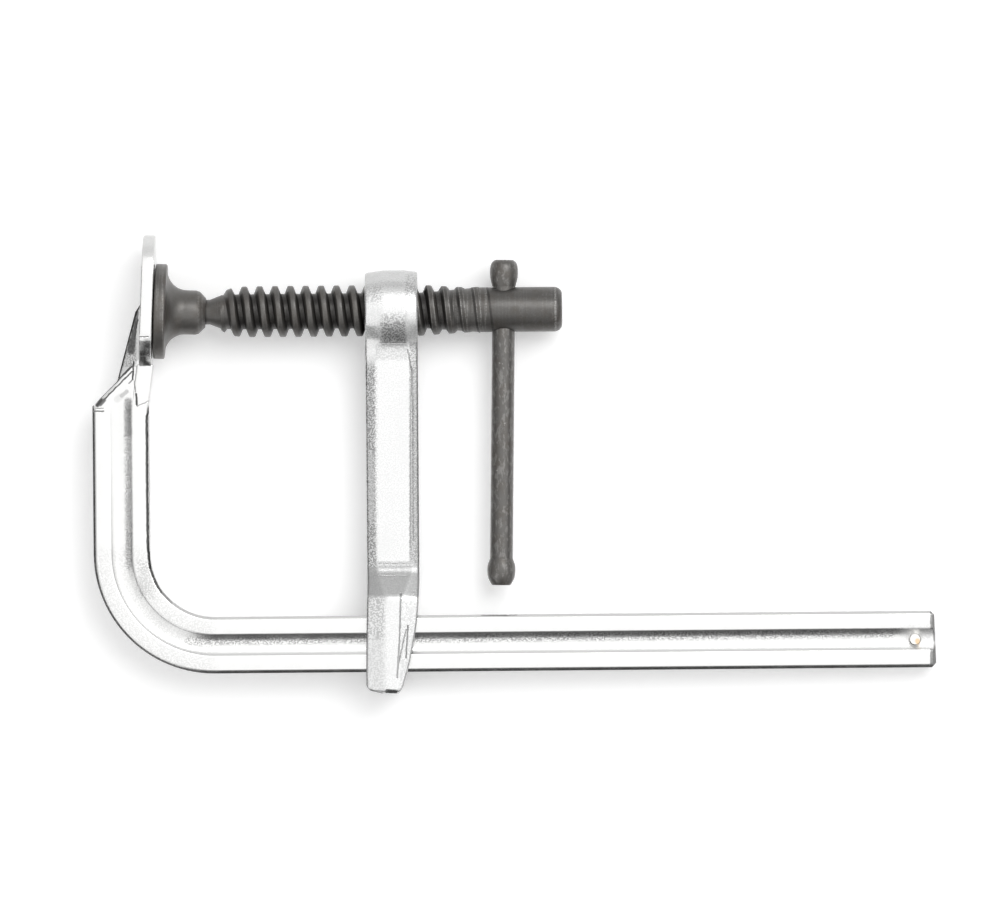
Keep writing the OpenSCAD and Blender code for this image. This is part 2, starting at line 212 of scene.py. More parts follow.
lamp = bpy.data.lights.new("softbox", "AREA")
lamp.shape = "SQUARE"
lamp.size = SOFTBOX_SIZE
lamp.energy = SOFTBOX_POWER
softbox = bpy.data.objects.new("softbox", lamp)
scene.collection.objects.link(softbox)
softbox.location = SOFTBOX_PLACE
softbox.rotation_euler = (view_middle - SOFTBOX_PLACE).to_track_quat("-Z", "Y").to_euler()
print("world level", WORLD_LEVEL, "and a softbox of", SOFTBOX_POWER, "W")

# %% Cards round the clamp and over it
CARD_SINK = 0.03
CEILING_H = 1.2
CEILING_LEVEL = 1.55


def card(name, facing, place, width, height):
    """A card that only gloss sees, with the nodes of its paint and its own upright coordinates."""
    bpy.ops.object.select_all(action="DESELECT")
    bpy.ops.mesh.primitive_plane_add(size=1)
    board = bpy.context.object
    board.name = name
    board.scale = (width, height, 1)
    board.rotation_euler = Vector(facing).to_track_quat("Z", "Y").to_euler()
    board.location = place
    board.data.materials.append(bpy.data.materials.new(name))
    board.visible_camera = False
    board.visible_diffuse = False
    board.visible_shadow = False
    paint = NodeTree(board.data.materials[0])
    spot = paint.node("ShaderNodeTexCoord", output="Object")
    return paint, paint.axis(spot, "X"), paint.axis(spot, "Y")


def paint_card(paint, level, shown):
    """Fills a card with an even level where it is shown, and leaves the rest clear."""
    light = paint.node("ShaderNodeEmission", None, {"Color": (1, 1, 1, 1), "Strength": level})
    clear = paint.node("ShaderNodeBsdfTransparent")
    paint.end(paint.node("ShaderNodeMixShader", None, {0: shown, 1: clear, 2: light}))


def standing_card(name, side, distance, elevations, azimuths, level):
    """A card on one side, full up to one elevation and azimuth in degrees and gone at the other."""
    full, height = [distance * math.tan(math.radians(angle)) + CARD_SINK for angle in elevations]
    full_side, half_width = [distance * math.tan(math.radians(angle)) for angle in azimuths]
    facing = Vector(side)
    place = view_middle - facing * distance + Vector((0, 0, height / 2 - CARD_SINK))
    paint, across, up = card(name, facing, place, 2 * half_width, height)
    off_middle = paint.node("ShaderNodeMath", {"operation": "ABSOLUTE"}, {0: across})
    above = paint.ramp(up, full / height - 0.5, 0.5)
    beside = paint.ramp(off_middle, full_side / half_width / 2, 0.5)
    paint_card(paint, level, (1 - above) * (1 - beside))


# Each card's side and distance, the elevations and azimuths between which it fades, and its level
cards = {
    "front_card": ((0, 1, 0), 0.9, (44, 62), (11, 24), 0.16),
    "corner_card": ((0.7, 0.7, 0), 1.0, (56, 72), (24, 36), 1.4),
    "corner_low_card": ((0.7, 0.7, 0), 0.9, (14, 22), (16, 30), 0.06),
    "front_low_card": ((0, 1, 0), 0.85, (14, 22), (44, 56), 0.06),
    "left_card": ((1, 0, 0), 0.8, (40, 62), (6, 17), 0.82),
    "left_low_card": ((1, 0, 0), 0.7, (14, 22), (44, 56), 0.06),
    "right_low_card": ((-1, 0, 0), 0.8, (16, 32), (40, 55), 0.38),
}
for name, setting in cards.items():
    standing_card(name, *setting)

# The lit part of the ceiling, in degrees from the zenith towards each side, where it starts to fade and ends
reach = {"left": (24, 46), "right": (44, 70), "front": (14, 44), "back": (48, 58)}
span = {side: [CEILING_H * math.tan(math.radians(angle)) for angle in ends] for side, ends in reach.items()}
wide = 2 * max(span["left"][1], span["right"][1])
deep = 2 * max(span["front"][1], span["back"][1])
paint, across, up = card("ceiling", (0, 0, -1), view_middle + Vector((0, 0, CEILING_H)), wide, deep)
shown = 1
for place, size, low_side, high_side in ((across, wide, "right", "left"), (up, deep, "front", "back")):
    for side, sign in ((low_side, -1), (high_side, 1)):
        full, gone = [sign * length / size for length in span[side]]
        shown = shown * (1 - paint.ramp(sign * place, abs(full), abs(gone)))
paint_card(paint, CEILING_LEVEL, shown)
print("cards stand round the clamp, under a ceiling of", round(wide, 2), "by", round(deep, 2), "m")

# %% [markdown]
# ## Floor
# The clamp lies on its side: its jaw plate and its arm touch the floor, and the thinner rail hangs between
# them. A level floor would leave the arm in the air, so the floor leans by the 2 degrees that bring both
# down to it. It is white, takes the soft shadow, and glows a little for the camera so that it ends in white.

# %% Lay the floor under the jaw and the arm
FLOOR_SIZE = 8.0
FLOOR_WHITE = (0.92, 0.92, 0.92, 1)
FLOOR_GLOW = 0.2
jaw_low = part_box("rail")[0]
arm_low, arm_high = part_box("sliding_arm")
jaw_back = -2 * MM
floor_slope = (arm_low.z - jaw_low.z) / (arm_low.x + arm_high.x - 2 * jaw_back) * 2

bpy.ops.object.select_all(action="DESELECT")
bpy.ops.mesh.primitive_plane_add(size=FLOOR_SIZE)
floor = bpy.context.object
floor.name = "floor"
floor.location = (0, 0, jaw_low.z - floor_slope * jaw_back - 0.1 * MM)
floor.rotation_euler.y = -math.atan(floor_slope)
floor.data.materials.append(bpy.data.materials.new("white_paper"))
paper = NodeTree(floor.data.materials[0])
paper_matt = paper.node("ShaderNodeBsdfDiffuse", None, {"Color": FLOOR_WHITE})
paper_glow = paper.node("ShaderNodeEmission", None, {"Strength": FLOOR_GLOW * seen_directly(paper)})
paper.end(paper.node("ShaderNodeAddShader", None, {0: paper_matt, 1: paper_glow}))
print("floor leans by", round(math.degrees(math.atan(floor_slope)), 2), "degrees")

# %% [markdown]
# ## Hand tools
# Modelling in a script means the same steps as by hand: select, extrude, spin, bevel. Operators act on
# whatever is selected, so each piece starts with nothing selected. A pen draws outlines: one vertex, extruded
# for straight lines and spun for arcs. The operator spins clockwise, so the pen turns the angle's sign.

# %% Start, select and draw


def start_piece():
    """Leaves edit mode with nothing selected."""
    if bpy.context.object and bpy.context.object.mode != "OBJECT":
        bpy.ops.object.mode_set(mode="OBJECT")
    bpy.ops.object.select_all(action="DESELECT")


def edit(piece):
    """Opens one piece in edit mode."""
    start_piece()
    piece.select_set(True)
    bpy.context.view_layer.objects.active = piece
    bpy.ops.object.mode_set(mode="EDIT")


def pick(kind, test):
    """Selects the vertices, edges or faces whose points all pass a test, in edit mode."""
    bpy.ops.mesh.select_mode(type=kind)
    bpy.ops.mesh.select_all(action="DESELECT")
    shape = bmesh.from_edit_mesh(bpy.context.object.data)
    parts = {"VERT": shape.verts, "EDGE": shape.edges, "FACE": shape.faces}[kind]
    for part in parts:
        points = [part.co] if kind == "VERT" else [corner.co for corner in part.verts]
        part.select = all(test(point) for point in points)
    shape.select_flush_mode()
    bmesh.update_edit_mesh(bpy.context.object.data)


def extrude(x, y, z):
    bpy.ops.mesh.extrude_region_move(TRANSFORM_OT_translate={"value": (x, y, z)})


def cut(point, way):
    """Cuts everything off past a plane, in edit mode."""
    bpy.ops.mesh.select_all(action="SELECT")
    bpy.ops.mesh.bisect(plane_co=point, plane_no=way, use_fill=True, clear_outer=True, threshold=0.001 * MM)


def apply_modifier(piece, kind, **settings):
    """Adds a modifier to a piece, sets it and applies it."""
    start_piece()
    piece.select_set(True)
    bpy.context.view_layer.objects.active = piece
    bpy.ops.object.modifier_add(type=kind)
    modifier = piece.modifiers[-1]
    for name, value in settings.items():
        setattr(modifier, name, value)
    bpy.ops.object.modifier_apply(modifier=modifier.name)


def combine(piece, other, operation):
    """Joins another solid to a piece, or cuts it away, and removes the other."""
    apply_modifier(piece, "BOOLEAN", operation=operation, object=other, solver="EXACT")
    bpy.data.objects.remove(other)


def apply_place(piece):
    """Puts a piece's place, turn and scale into its mesh."""
    start_piece()
    piece.select_set(True)
    bpy.context.view_layer.objects.active = piece
    bpy.ops.object.transform_apply(location=True, rotation=True, scale=True)


print("operators are wrapped")

# %% A pen for outlines


class Pen:
    """Draws an outline from a single vertex."""

    def __init__(self, name, start):
        start_piece()
        bpy.ops.mesh.primitive_plane_add(size=MM, location=start)
        self.piece = bpy.context.object
        self.piece.name = name
        apply_place(self.piece)
        bpy.ops.object.mode_set(mode="EDIT")
        bpy.ops.mesh.select_mode(type="VERT")
        bpy.ops.mesh.select_all(action="SELECT")
        bpy.ops.mesh.merge(type="CENTER")
        self.place = Vector(start)

    def line(self, *target):
        extrude(*(Vector(target) - self.place))
        self.place = Vector(target)

    def arc(self, centre, axis, degrees, steps):
        angle = math.radians(degrees)
        bpy.ops.mesh.spin(steps=steps, angle=-angle, center=centre, axis=axis)
        self.place = Vector(centre) + Matrix.Rotation(angle, 3, Vector(axis)) @ (self.place - Vector(centre))

    def fill(self):
        """Closes the outline to one face."""
        bpy.ops.mesh.select_all(action="SELECT")
        bpy.ops.mesh.remove_doubles(threshold=0.001 * MM)
        bpy.ops.mesh.edge_face_add()

    def revolve(self, centre, axis, steps):
        """Turns the outline once round an axis and closes it."""
        bpy.ops.mesh.select_all(action="SELECT")
        bpy.ops.mesh.spin(steps=steps, angle=2 * math.pi, center=centre, axis=axis)
        bpy.ops.mesh.select_all(action="SELECT")
        bpy.ops.mesh.remove_doubles(threshold=0.001 * MM)
        bpy.ops.mesh.normals_make_consistent(inside=False)
        start_piece()
        return self.piece


print("the pen is ready")

# %% Boxes, rods and the last touches


def box_piece(name, low, high):
    """A cube primitive between two corners."""
    start_piece()
    low, high = Vector(low), Vector(high)
    bpy.ops.mesh.primitive_cube_add(size=1, location=(low + high) / 2, scale=high - low)
    piece = bpy.context.object
    piece.name = name
    apply_place(piece)
    return piece


def rod_piece(name, radius, low, high, sides=64):
    """A cylinder primitive along X, or along the line between two points."""
    start_piece()
    low, high = Vector(low), Vector(high)
    way = high - low
    bpy.ops.mesh.primitive_cylinder_add(
        vertices=sides, radius=radius, depth=way.length,
        location=(low + high) / 2, rotation=way.to_track_quat("Z", "Y").to_euler(),
    )
    piece = bpy.context.object
    piece.name = name
    apply_place(piece)
    return piece


def measure(piece):
    """Prints a piece's size, triangles and open edges."""
    shape = bmesh.new()
    shape.from_mesh(piece.data)
    triangles = sum(len(face.verts) - 2 for face in shape.faces)
    open_edges = sum(len(edge.link_faces) != 2 for edge in shape.edges)
    size = [round(length / MM, 2) for length in piece.dimensions]
    print(f"{piece.name}: {size} mm, {triangles} triangles, {open_edges} open edges")
    shape.free()


def dress(piece, node, body, finish, smooth_angle=32):
    """Gives a piece its finish, and lets it stand for its node and ride on its body."""
    start_piece()
    piece.select_set(True)
    bpy.context.view_layer.objects.active = piece
    bpy.ops.object.shade_smooth_by_angle(angle=math.radians(smooth_angle))
    piece.data.materials.clear()
    piece.data.materials.append(finish)
    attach(piece, body)
    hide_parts(node)
    measure(piece)


print("hand tools are ready")

# %% [markdown]
# ## Bright plating
# The rail is drawn steel and the arm a drop forging, both under bright plating. On the real clamp the plating
# follows the steel below it: nearly smooth on the rail, with a fine grain where it was forged, and coarser
# on the arm. An image would give every mark, but with its light and shadows. So the grain is bump and fine
# flecks from noise at their real size, and each zone, crease and crack is a soft box or line with a name,
# placed at the pixels where the photograph shows it. Cracks, scratches, a pit, flash lines, streaks, a scuff
# and a scar are marks. The darker zones under the jaw, in the upright's groove, round the bend and on the
# arm, and the dark lines along edges, creases and the rib's hollow, are painted shade. The free end is darker
# because it is unplated. The photograph looks straight down, so these belong only on faces that look up or
# down. Each face carries that as an attribute, which the finish reads.

# %% Faces that look up or down
STEEP = 0.2


def note_facing(piece):
    """Writes down on each face of a piece whether it looks up or down."""
    normals = np.empty(3 * len(piece.data.polygons), dtype=np.float32)
    piece.data.polygons.foreach_get("normal", normals)
    facing = piece.data.attributes.new("faces_up", "FLOAT", "FACE")
    facing.data.foreach_set("value", (np.abs(normals[2::3]) > STEEP).astype(np.float32))


print("faces are steep from", round(math.degrees(math.acos(STEEP))), "degrees")

# %% Soft boxes and lines by the photograph's pixels


def on_photo(nodes, place):
    """The pixel at which the photograph shows a place on the part."""
    size = MM / PX_PER_MM
    place_of_photo = {"Location": seen_at(0, 0), "Rotation": (0, 0, CAMERA_ROLL), "Scale": (size, -size, 1)}
    pixel = nodes.node("ShaderNodeMapping", {"vector_type": "TEXTURE"}, {"Vector": place, **place_of_photo})
    return nodes.vector("MULTIPLY", pixel, (1, 1, 0))


def line_mask(nodes, pixel, start, end, width):
    """1 on a line from one pixel to another, and 0 beside it."""
    start, end = Vector((*start, 0)), Vector((*end, 0))
    way = end - start
    past = nodes.vector("SUBTRACT", pixel, start)
    share = nodes.vector("DOT_PRODUCT", past, way / way.length_squared, "Value")
    share = nodes.node("ShaderNodeClamp", None, {0: share})
    nearest = nodes.node("ShaderNodeVectorMath", {"operation": "SCALE"}, {0: way, "Scale": share})
    distance = nodes.vector("DISTANCE", past, nearest, "Value")
    return 1 - nodes.ramp(distance, width * 0.25, width * 0.7)


def zone_mask(nodes, pixel, left, right, top, bottom, soft):
    """1 in a box with soft edges, and 0 outside it."""
    inside = 1
    for axis, low, high in (("X", left, right), ("Y", top, bottom)):
        value = nodes.axis(pixel, axis)
        past_low = nodes.ramp(value, low - soft, low + soft)
        past_high = nodes.ramp(value, high - soft, high + soft)
        inside = inside * past_low * (1 - past_high)
    return inside


print("the photograph's first pixel lies at", [round(length / MM, 1) for length in seen_at(0, 0)], "mm")

# %% Plated steel
SHAKE = (0.4 * MM, 0.4 * MM, 0)
SHAKE_SIZE = 1.2 * MM
STAIN = (0.62, 0.47, 0.31, 1)
# Sizes as multiples of the grain's, then how dark flecks are, the relief outside the zones and a line's depth
CLOUD_SIZE = 12
FLECK_SIZE = 0.75
FLECK_DARK = 0.85
LEAST_RELIEF = 0.35
LINE_DEPTH = 2


def plating(name, colour, grain_size, grain_depth, gloss, cloudy, zones, marks_and_shade, stains):
    """Plated steel, with grainy and matt zones, zones darkened by painted shade and by unplated steel, dark
    lines of marks and painted shade, and stains.
    """
    material = bpy.data.materials.new(name)
    nodes = NodeTree(material)
    place = nodes.node("ShaderNodeTexCoord", output="Object")
    wobble = nodes.node("ShaderNodeTexNoise", None, {"Vector": place, "Scale": 1 / SHAKE_SIZE}, 1)
    shift = nodes.vector("SUBTRACT", wobble, (0.5, 0.5, 0.5))
    shaken = nodes.vector("ADD", nodes.vector("MULTIPLY", shift, SHAKE), place)
    pixel = on_photo(nodes, shaken)
    facing = nodes.node("ShaderNodeAttribute", {"attribute_name": "faces_up"}, output="Fac")
    amounts = (0, 0, 0)
    for *outline, grainy, dull_and_shade, matt in zones.values():
        mask = line_mask if len(outline) == 3 else zone_mask
        inside = facing * mask(nodes, pixel, *outline)
        levels = (grainy, dull_and_shade, matt)
        amounts = nodes.node("ShaderNodeMix", {"data_type": "VECTOR"}, {0: inside, 4: amounts, 5: levels}, 1)
    grainy, dull_and_shade, matt = [nodes.axis(amounts, axis) for axis in "XYZ"]
    marked_and_shaded = 0
    # Dark lines: real marks, and painted shade along edges, creases, folds, the rib's hollow and the pin's
    # edge.
    for width, depth, points in marks_and_shade.values():
        for start, end in zip(points, points[1:]):
            dark_line = depth * line_mask(nodes, pixel, start, end, width)
            marked_and_shaded = nodes.node("ShaderNodeMath", {"operation": "MAXIMUM"}, {0: marked_and_shaded, 1: dark_line})
    marked_and_shaded = marked_and_shaded * facing
    for width, points in stains.values():
        colour = nodes.mix(line_mask(nodes, pixel, *points, width), colour, STAIN)
    grain = nodes.noise(place, grain_size, detail=2.0, roughness=0.6)
    cloud = nodes.ramp(nodes.noise(place, grain_size * CLOUD_SIZE, detail=3.0), 0.35, 0.7)
    speckle = nodes.ramp(nodes.noise(place, grain_size * FLECK_SIZE, detail=0.0), 0.42, 0.56)
    # The zones' darkening is unplated steel on the free end and painted shade in the other zones.
    shade = (1 - dull_and_shade) * (1 - FLECK_DARK * grainy * speckle) * (1 - cloudy * cloud) * (1 - marked_and_shaded)
    relief = grain * (LEAST_RELIEF + (1 - LEAST_RELIEF) * grainy) - LINE_DEPTH * marked_and_shaded
    bump = nodes.node("ShaderNodeBump", None, {"Height": relief, "Distance": grain_depth, "Strength": 1.0})
    shader = nodes.node(
        "ShaderNodeBsdfPrincipled",
        None,
        {
            "Base Color": nodes.mix(shade, (0, 0, 0, 1), colour),
            "Metallic": 1.0,
            "Roughness": gloss + 0.06 * cloud + 0.35 * matt,
            "Normal": bump,
        },
    )
    nodes.end(shader)
    return material


print("plated steel is ready to be zoned and marked")

# %% Zones by pixels
# Zones by left, right, top, bottom and softness in pixels, or by two ends and a width, then how grainy they
# are, how much they are darkened, and how matt. The darkening is unplated steel on the free end and painted
# shade in the other zones.
rail_zones = {
    "bend": (88, 215, 548, 690, 8, 0.12, 0.02, 0.1),
    "inside of the bend": (138, 156, 560, 598, 4, 0.3, 0.08, 0.2),
    "under the jaw": (140, 152, 341, 366, 0.8, 0.4, 0.57, 0.2),
    "bright spot under the jaw": (146.8, 152, 348.5, 362, 1, 0.3, 0, 0.2),
    "rib": (110, 137, 300, 367, 1, 0.5, 0, 0.2),
    "top of the jaw": (138, 156, 228, 255, 2, 0.1, 0, 0.4),
    "end of the upright's groove": ((128.5, 402), (128.5, 436), 8, 0.5, 0.4, 0.1),
    "upright's groove": ((128.5, 440), (129.5, 566), 8, 0.4, 0.1, 0.1),
    "rail's groove": ((190, 641), (890, 633), 9, 0.5, 0, 0.1),
    "round the pin": (902, 940, 622, 652, 8, 0.2, 0, 0.7),
    "far part of the free end": (929.6, 960, 600, 628.5, 0.5, 0.2, 0.62, 0.5),
    "middle of the free end": (932.8, 960, 627.5, 649.5, 0.8, 0.2, 0.62, 0.5),
    "near part of the free end": (929.6, 960, 648.5, 680, 0.5, 0.2, 0.62, 0.5),
}
arm_zones = {
    "all over": (300, 500, 200, 800, 1, 0.08, 0, 0.1),
    "back of the boss": (360, 422, 262, 288, 2, 0.08, 0.1, 0.1),
    "near side of the boss": (360, 383, 287, 303.5, 2.5, 0.36, 0, 0.2),
    "far side of the boss": (406, 422, 274, 302, 3, 0.3, 0.12, 0.1),
    "front of the boss": (382, 406, 314, 343, 4, 0.45, 0, 0.6),
    "foot of the boss": (381, 406, 323, 342.5, 2.5, 0.6, 0.14, 0.6),
    "near hollow": (360, 382, 327, 339, 2, 0.34, 0, 0.8),
    "far hollow": (406, 422, 322, 342, 3, 0.2, 0.08, 1),
    "head of the shank": (376, 408, 344, 360, 2, 0.25, 0.08, 0.2),
    "near strip of the shank": (360, 376.5, 366, 570, 3, 0.55, 0, 0),
    "bare patch of the shank": (368.5, 374.5, 452, 520, 3, 0.22, 0, 0),
    "far strip of the shank": (409.5, 422, 342, 572, 1, 0.3, 0.34, 0.1),
    "foot of the shank": (377, 414, 561, 573, 1, 0.25, 0.2, 0.1),
    "top of the slope": (366, 420, 566.5, 573, 1, 0.2, 0.3, 0.3),
    "slope": (360, 422, 572, 597, 1.5, 0.12, 0.33, 0.2),
    "near strip of the loop": (360, 385, 596, 640, 2, 0.4, 0, 0.2),
    "toe": (360, 386, 640, 696, 5, 0.2, 0, 0.2),
    "far strip of the loop": (400.5, 422, 598, 696, 1, 0.2, 0.03, 0.1),
}
print(len(rail_zones), "zones on the rail and", len(arm_zones), "on the arm")

# %% Lines by pixels
# Lines by their width in pixels, how dark they are, and the pixels that they join. The cracks, scratches,
# pit, flash lines, streaks, scuff and scar are marks. The lines along edges, creases, folds and the rib's
# hollow are painted shade, and so are the pin's lines.
rail_marks_and_shade = {
    "edge of the rib": (2.6, 0.92, [(139, 306.5), (137.2, 309.8), (125.6, 349.6), (118.6, 377)]),
    "tip of the rib's hollow": (2, 0.7, [(138, 312), (136.4, 322)]),
    "top of the rib's hollow": (3.4, 0.75, [(136.4, 320), (134.4, 331)]),
    "middle of the rib's hollow": (5, 0.75, [(134, 331), (132.6, 340)]),
    "foot of the rib's hollow": (7.6, 0.75, [(131.8, 341), (130.6, 351)]),
    "outer edge of the ribbon": (2.2, 0.85, [(131.8, 366.6), (98.5, 399.6)]),
    "inner edge of the ribbon": (1.4, 0.85, [(132.5, 371.5), (105, 399)]),
    "crack behind the jaw": (1.5, 0.9, [(133.8, 362), (133.6, 373), (133.2, 379.5)]),
    "branch of the crack": (1, 0.6, [(132.5, 380), (129, 383.5)]),
    "fine crack": (1, 0.5, [(134.8, 381), (135.8, 392)]),
    "foot of the crack": (1.8, 0.9, [(136.6, 394), (137.2, 405)]),
    "scratch on the neck": (0.8, 0.45, [(137.5, 406.5), (150.5, 400.5)]),
    "streak over the groove": (4, 0.35, [(127, 391.5), (122, 396)]),
    "pale streak over the groove": (6, 0.12, [(122, 396), (117, 400)]),
    "scratch on the jaw": (1.2, 0.65, [(141.5, 337.3), (149.5, 337.3)]),
    "pit at the shoulder": (4.5, 0.85, [(101.5, 400), (98, 405)]),
    "side of the pit": (4, 0.8, [(104.5, 400.3), (100.5, 404.3)]),
    "upper flash line": (0.9, 0.5, [(96, 408.3), (104, 408.2)]),
    "lower flash line": (1.3, 0.75, [(95, 411.3), (104, 411.2)]),
    "edge under the neck": (2.6, 0.8, [(151.3, 402), (147.6, 416)]),
    "inner edge of the upright": (2.8, 0.85, [(147.4, 416), (147.6, 480), (148.5, 545), (151, 568)]),
    "inner edge of the bend": (2.6, 0.65, [(151, 568), (156, 582), (162, 592)]),
    "pale inner edge of the bend": (2.4, 0.25, [(162, 592), (172, 602)]),
    "scuff on the rail": (1.2, 0.5, [(482, 615), (516, 614.7)]),
}
arm_marks_and_shade = {
    "crease of the boss": (1.4, 0.12, [(409, 276), (405.6, 290), (406.4, 320)]),
    "edge under the boss": (1.2, 0.15, [(380, 343.2), (406, 343.2)]),
    "upper crease of the shank": (1.4, 0.45, [(408, 350), (412, 371)]),
    "fold of the shank": (2.4, 0.3, [(412.4, 371), (412.4, 396)]),
    "crease of the shank": (1.2, 0.2, [(410.6, 396), (410.2, 548)]),
    "outer crease of the shank": (1.4, 0.3, [(413.4, 396), (413.6, 540)]),
    "upper line on the foot": (0.8, 0.15, [(378, 563.5), (411, 563.5)]),
    "lower line on the foot": (0.8, 0.15, [(378, 567), (411, 567)]),
    "line on the slope": (1, 0.1, [(378, 575.5), (408, 575.5)]),
    "crease of the loop": (1.4, 0.45, [(401, 593), (400, 634), (397.6, 677)]),
    "outer crease of the loop": (1.2, 0.55, [(408.4, 625), (406.4, 657)]),
    "slanted crease of the loop": (1, 0.45, [(406.4, 629), (398.6, 664)]),
    "edge of the toe": (1.6, 0.6, [(366.6, 600), (366, 660), (366.2, 682), (368.5, 688.5), (382, 692.5)]),
    "scar on the toe": (3, 0.5, [(387, 690.5), (396, 691)]),
}
# Painted shadow: a dark crescent on the side and edge of the pin, where it stands out of the groove.
pin_painted_shadow = {
    "side of the pin": (1, 0.25, [(910.2, 634), (908.6, 640)]),
    "edge of the pin": (1.6, 0.7, [(909.2, 641.5), (911, 644.6), (914, 646)]),
}
pin_stains = {"copper spot": (5, [(917, 640.6), (917.2, 642)])}
print(len(rail_marks_and_shade), "lines on the rail and", len(arm_marks_and_shade), "on the arm")

# %% The three plated finishes
NICKEL = (0.64, 0.64, 0.635, 1)
FORGED_NICKEL = (0.61, 0.612, 0.61, 1)
WARM_NICKEL = (0.66, 0.65, 0.63, 1)
rail_plating = plating(
    "rail_plating", NICKEL, grain_size=0.4 * MM, grain_depth=0.05 * MM, gloss=0.16, cloudy=0.03,
    zones=rail_zones, marks_and_shade=rail_marks_and_shade, stains={},
)
arm_plating = plating(
    "arm_plating", FORGED_NICKEL, grain_size=0.5 * MM, grain_depth=0.1 * MM, gloss=0.2, cloudy=0.05,
    zones=arm_zones, marks_and_shade=arm_marks_and_shade, stains={},
)
pin_plating = plating(
    "pin_plating", WARM_NICKEL, grain_size=0.2 * MM, grain_depth=0.006 * MM, gloss=0.2, cloudy=0.06,
    zones={}, marks_and_shade=pin_painted_shadow, stains=pin_stains,
)
print("plated finishes are ready")

# %% [markdown]
# ## Oiled black oxide
# The screw, the pad and the handle are blackened steel: a thin brown-black skin with an oily sheen. It wears
# to grey where it rubs: on the thread's crests, on edges, and in fine streaks along the handle. Paint would
# hide the metal's sheen, so the skin is a dark metal under a coat of oil, and each piece says where it is
# worn by a mask on its own coordinates. The screw's masks also paint shade into the thread's valleys and
# flanks, and paint highlights along the edges of the crests that run out.

# %% Rings and bands


def radius_from_x_axis(nodes, place):
    """Distance from the screw's axis."""
    flat = nodes.vector("MULTIPLY", place, (0, 1, 1))
    return nodes.vector("DISTANCE", flat, (0, 0, 0), "Value")


def turned_lines(nodes, place, size):
    """Fine rings round the screw's axis, as a lathe tool leaves them."""
    squeezed = nodes.vector("MULTIPLY", place, (1, 0.03, 0.03))
    return nodes.noise(squeezed, size, detail=2.0)


def band(nodes, value, low, high, soft):
    """1 between two values and 0 outside them."""
    return nodes.ramp(value, low - soft, low) * (1 - nodes.ramp(value, high, high + soft))


def nowhere(nodes, place):
    return nodes.axis(place, "X") * 0


print("rings and bands are ready")

# %% Masks of the thread
PITCH = 3.84 * MM
CREST_AT = 22.7 * MM


def thread_phase(nodes, place):
    """The turn of the thread, from 0 to 1 over each pitch with the crest in the middle."""
    sides = {0: nodes.axis(place, "Z"), 1: nodes.axis(place, "Y")}
    angle = nodes.node("ShaderNodeMath", {"operation": "ARCTAN2"}, sides)
    turns = (nodes.axis(place, "X") - CREST_AT) * (1 / PITCH) - angle * (0.5 / math.pi) + 0.5
    return nodes.node("ShaderNodeMath", {"operation": "FRACT"}, {0: turns})


def flanks(nodes, place):
    """The sides of the crests that face the pad, where they run out."""
    x = nodes.axis(place, "X")
    sides = band(nodes, thread_phase(nodes, place), 0.22, 0.32, 0.05)
    return sides * band(nodes, x, 64 * MM, 83.5 * MM, 3 * MM)


def painted_crest_highlights(nodes, place):
    """Painted highlights: thin bright lines along both edges of the crests that run out."""
    x = nodes.axis(place, "X")
    phase = thread_phase(nodes, place)
    lines = band(nodes, phase, 0.37, 0.39, 0.02) + band(nodes, phase, 0.6, 0.63, 0.02)
    return lines * band(nodes, x, 63 * MM, 82 * MM, 2 * MM)


def painted_thread_shade(nodes, place):
    """Painted shade between the crests of the thread, on its flanks and on the middle of the crests that run
    out.
    """
    low = 1 - nodes.ramp(radius_from_x_axis(nodes, place), 4.7 * MM, 5.9 * MM)
    x = nodes.axis(place, "X")
    low = low * nodes.ramp(x, 18.5 * MM, 21.5 * MM) * (1 - nodes.ramp(x, 70 * MM, 79 * MM))
    middle = band(nodes, thread_phase(nodes, place), 0.44, 0.56, 0.05)
    middle = middle * band(nodes, x, 63 * MM, 80 * MM, 2 * MM)
    return low + 0.9 * flanks(nodes, place) + 0.3 * middle


def run_out(nodes, place):
    """Where the thread runs out in the head."""
    x = nodes.axis(place, "X")
    return nodes.ramp(x, 70 * MM, 77 * MM) * (1 - nodes.ramp(x, 83 * MM, 85 * MM))


def crest_wear_and_highlights(nodes, place):
    """The thread's worn crests, the turned lines of its run-out, painted highlights on its crest edges, and
    the head's rim and scuffs.
    """
    x = nodes.axis(place, "X")
    crests = nodes.ramp(radius_from_x_axis(nodes, place), 5.95 * MM, 6.35 * MM) * 0.09
    turned = nodes.ramp(turned_lines(nodes, place, 0.45 * MM), 0.5, 0.66)
    lines = turned * (0.4 * run_out(nodes, place) + 0.1)
    rim = band(nodes, x, 100.3 * MM, 100.6 * MM, 0.15 * MM)
    scuffs = nodes.ramp(nodes.noise(place, 1.3 * MM, detail=4.0, roughness=0.7), 0.5, 0.7)
    scuffs = scuffs * nodes.ramp(x, 90 * MM, 100 * MM)
    # The crest edges are painted highlights, added to the wear.
    thread = (crests + lines + 0.55 * painted_crest_highlights(nodes, place)) * (1 - flanks(nodes, place))
    return thread + 1.2 * rim + 0.3 * scuffs


print("a crest lies at", round(CREST_AT / MM, 1), "mm and every", round(PITCH / MM, 2), "mm from it")

# %% Masks of the pad and the handle


def worn_rings(nodes, place):
    """Turned rings on the pad's flange, its edge and its mouth."""
    x = nodes.axis(place, "X")
    flange = 1 - nodes.ramp(x, 2.9 * MM, 3.4 * MM)
    mouth = band(nodes, x, 11.2 * MM, 11.5 * MM, 0.2 * MM) + band(nodes, x, 12.2 * MM, 12.4 * MM, 0.2 * MM)
    edge = band(nodes, x, 2.4 * MM, 2.6 * MM, 0.15 * MM)
    rings = nodes.ramp(turned_lines(nodes, place, 0.3 * MM), 0.45, 0.75) * flange
    return 0.45 * rings + 0.25 * mouth + 0.25 * edge


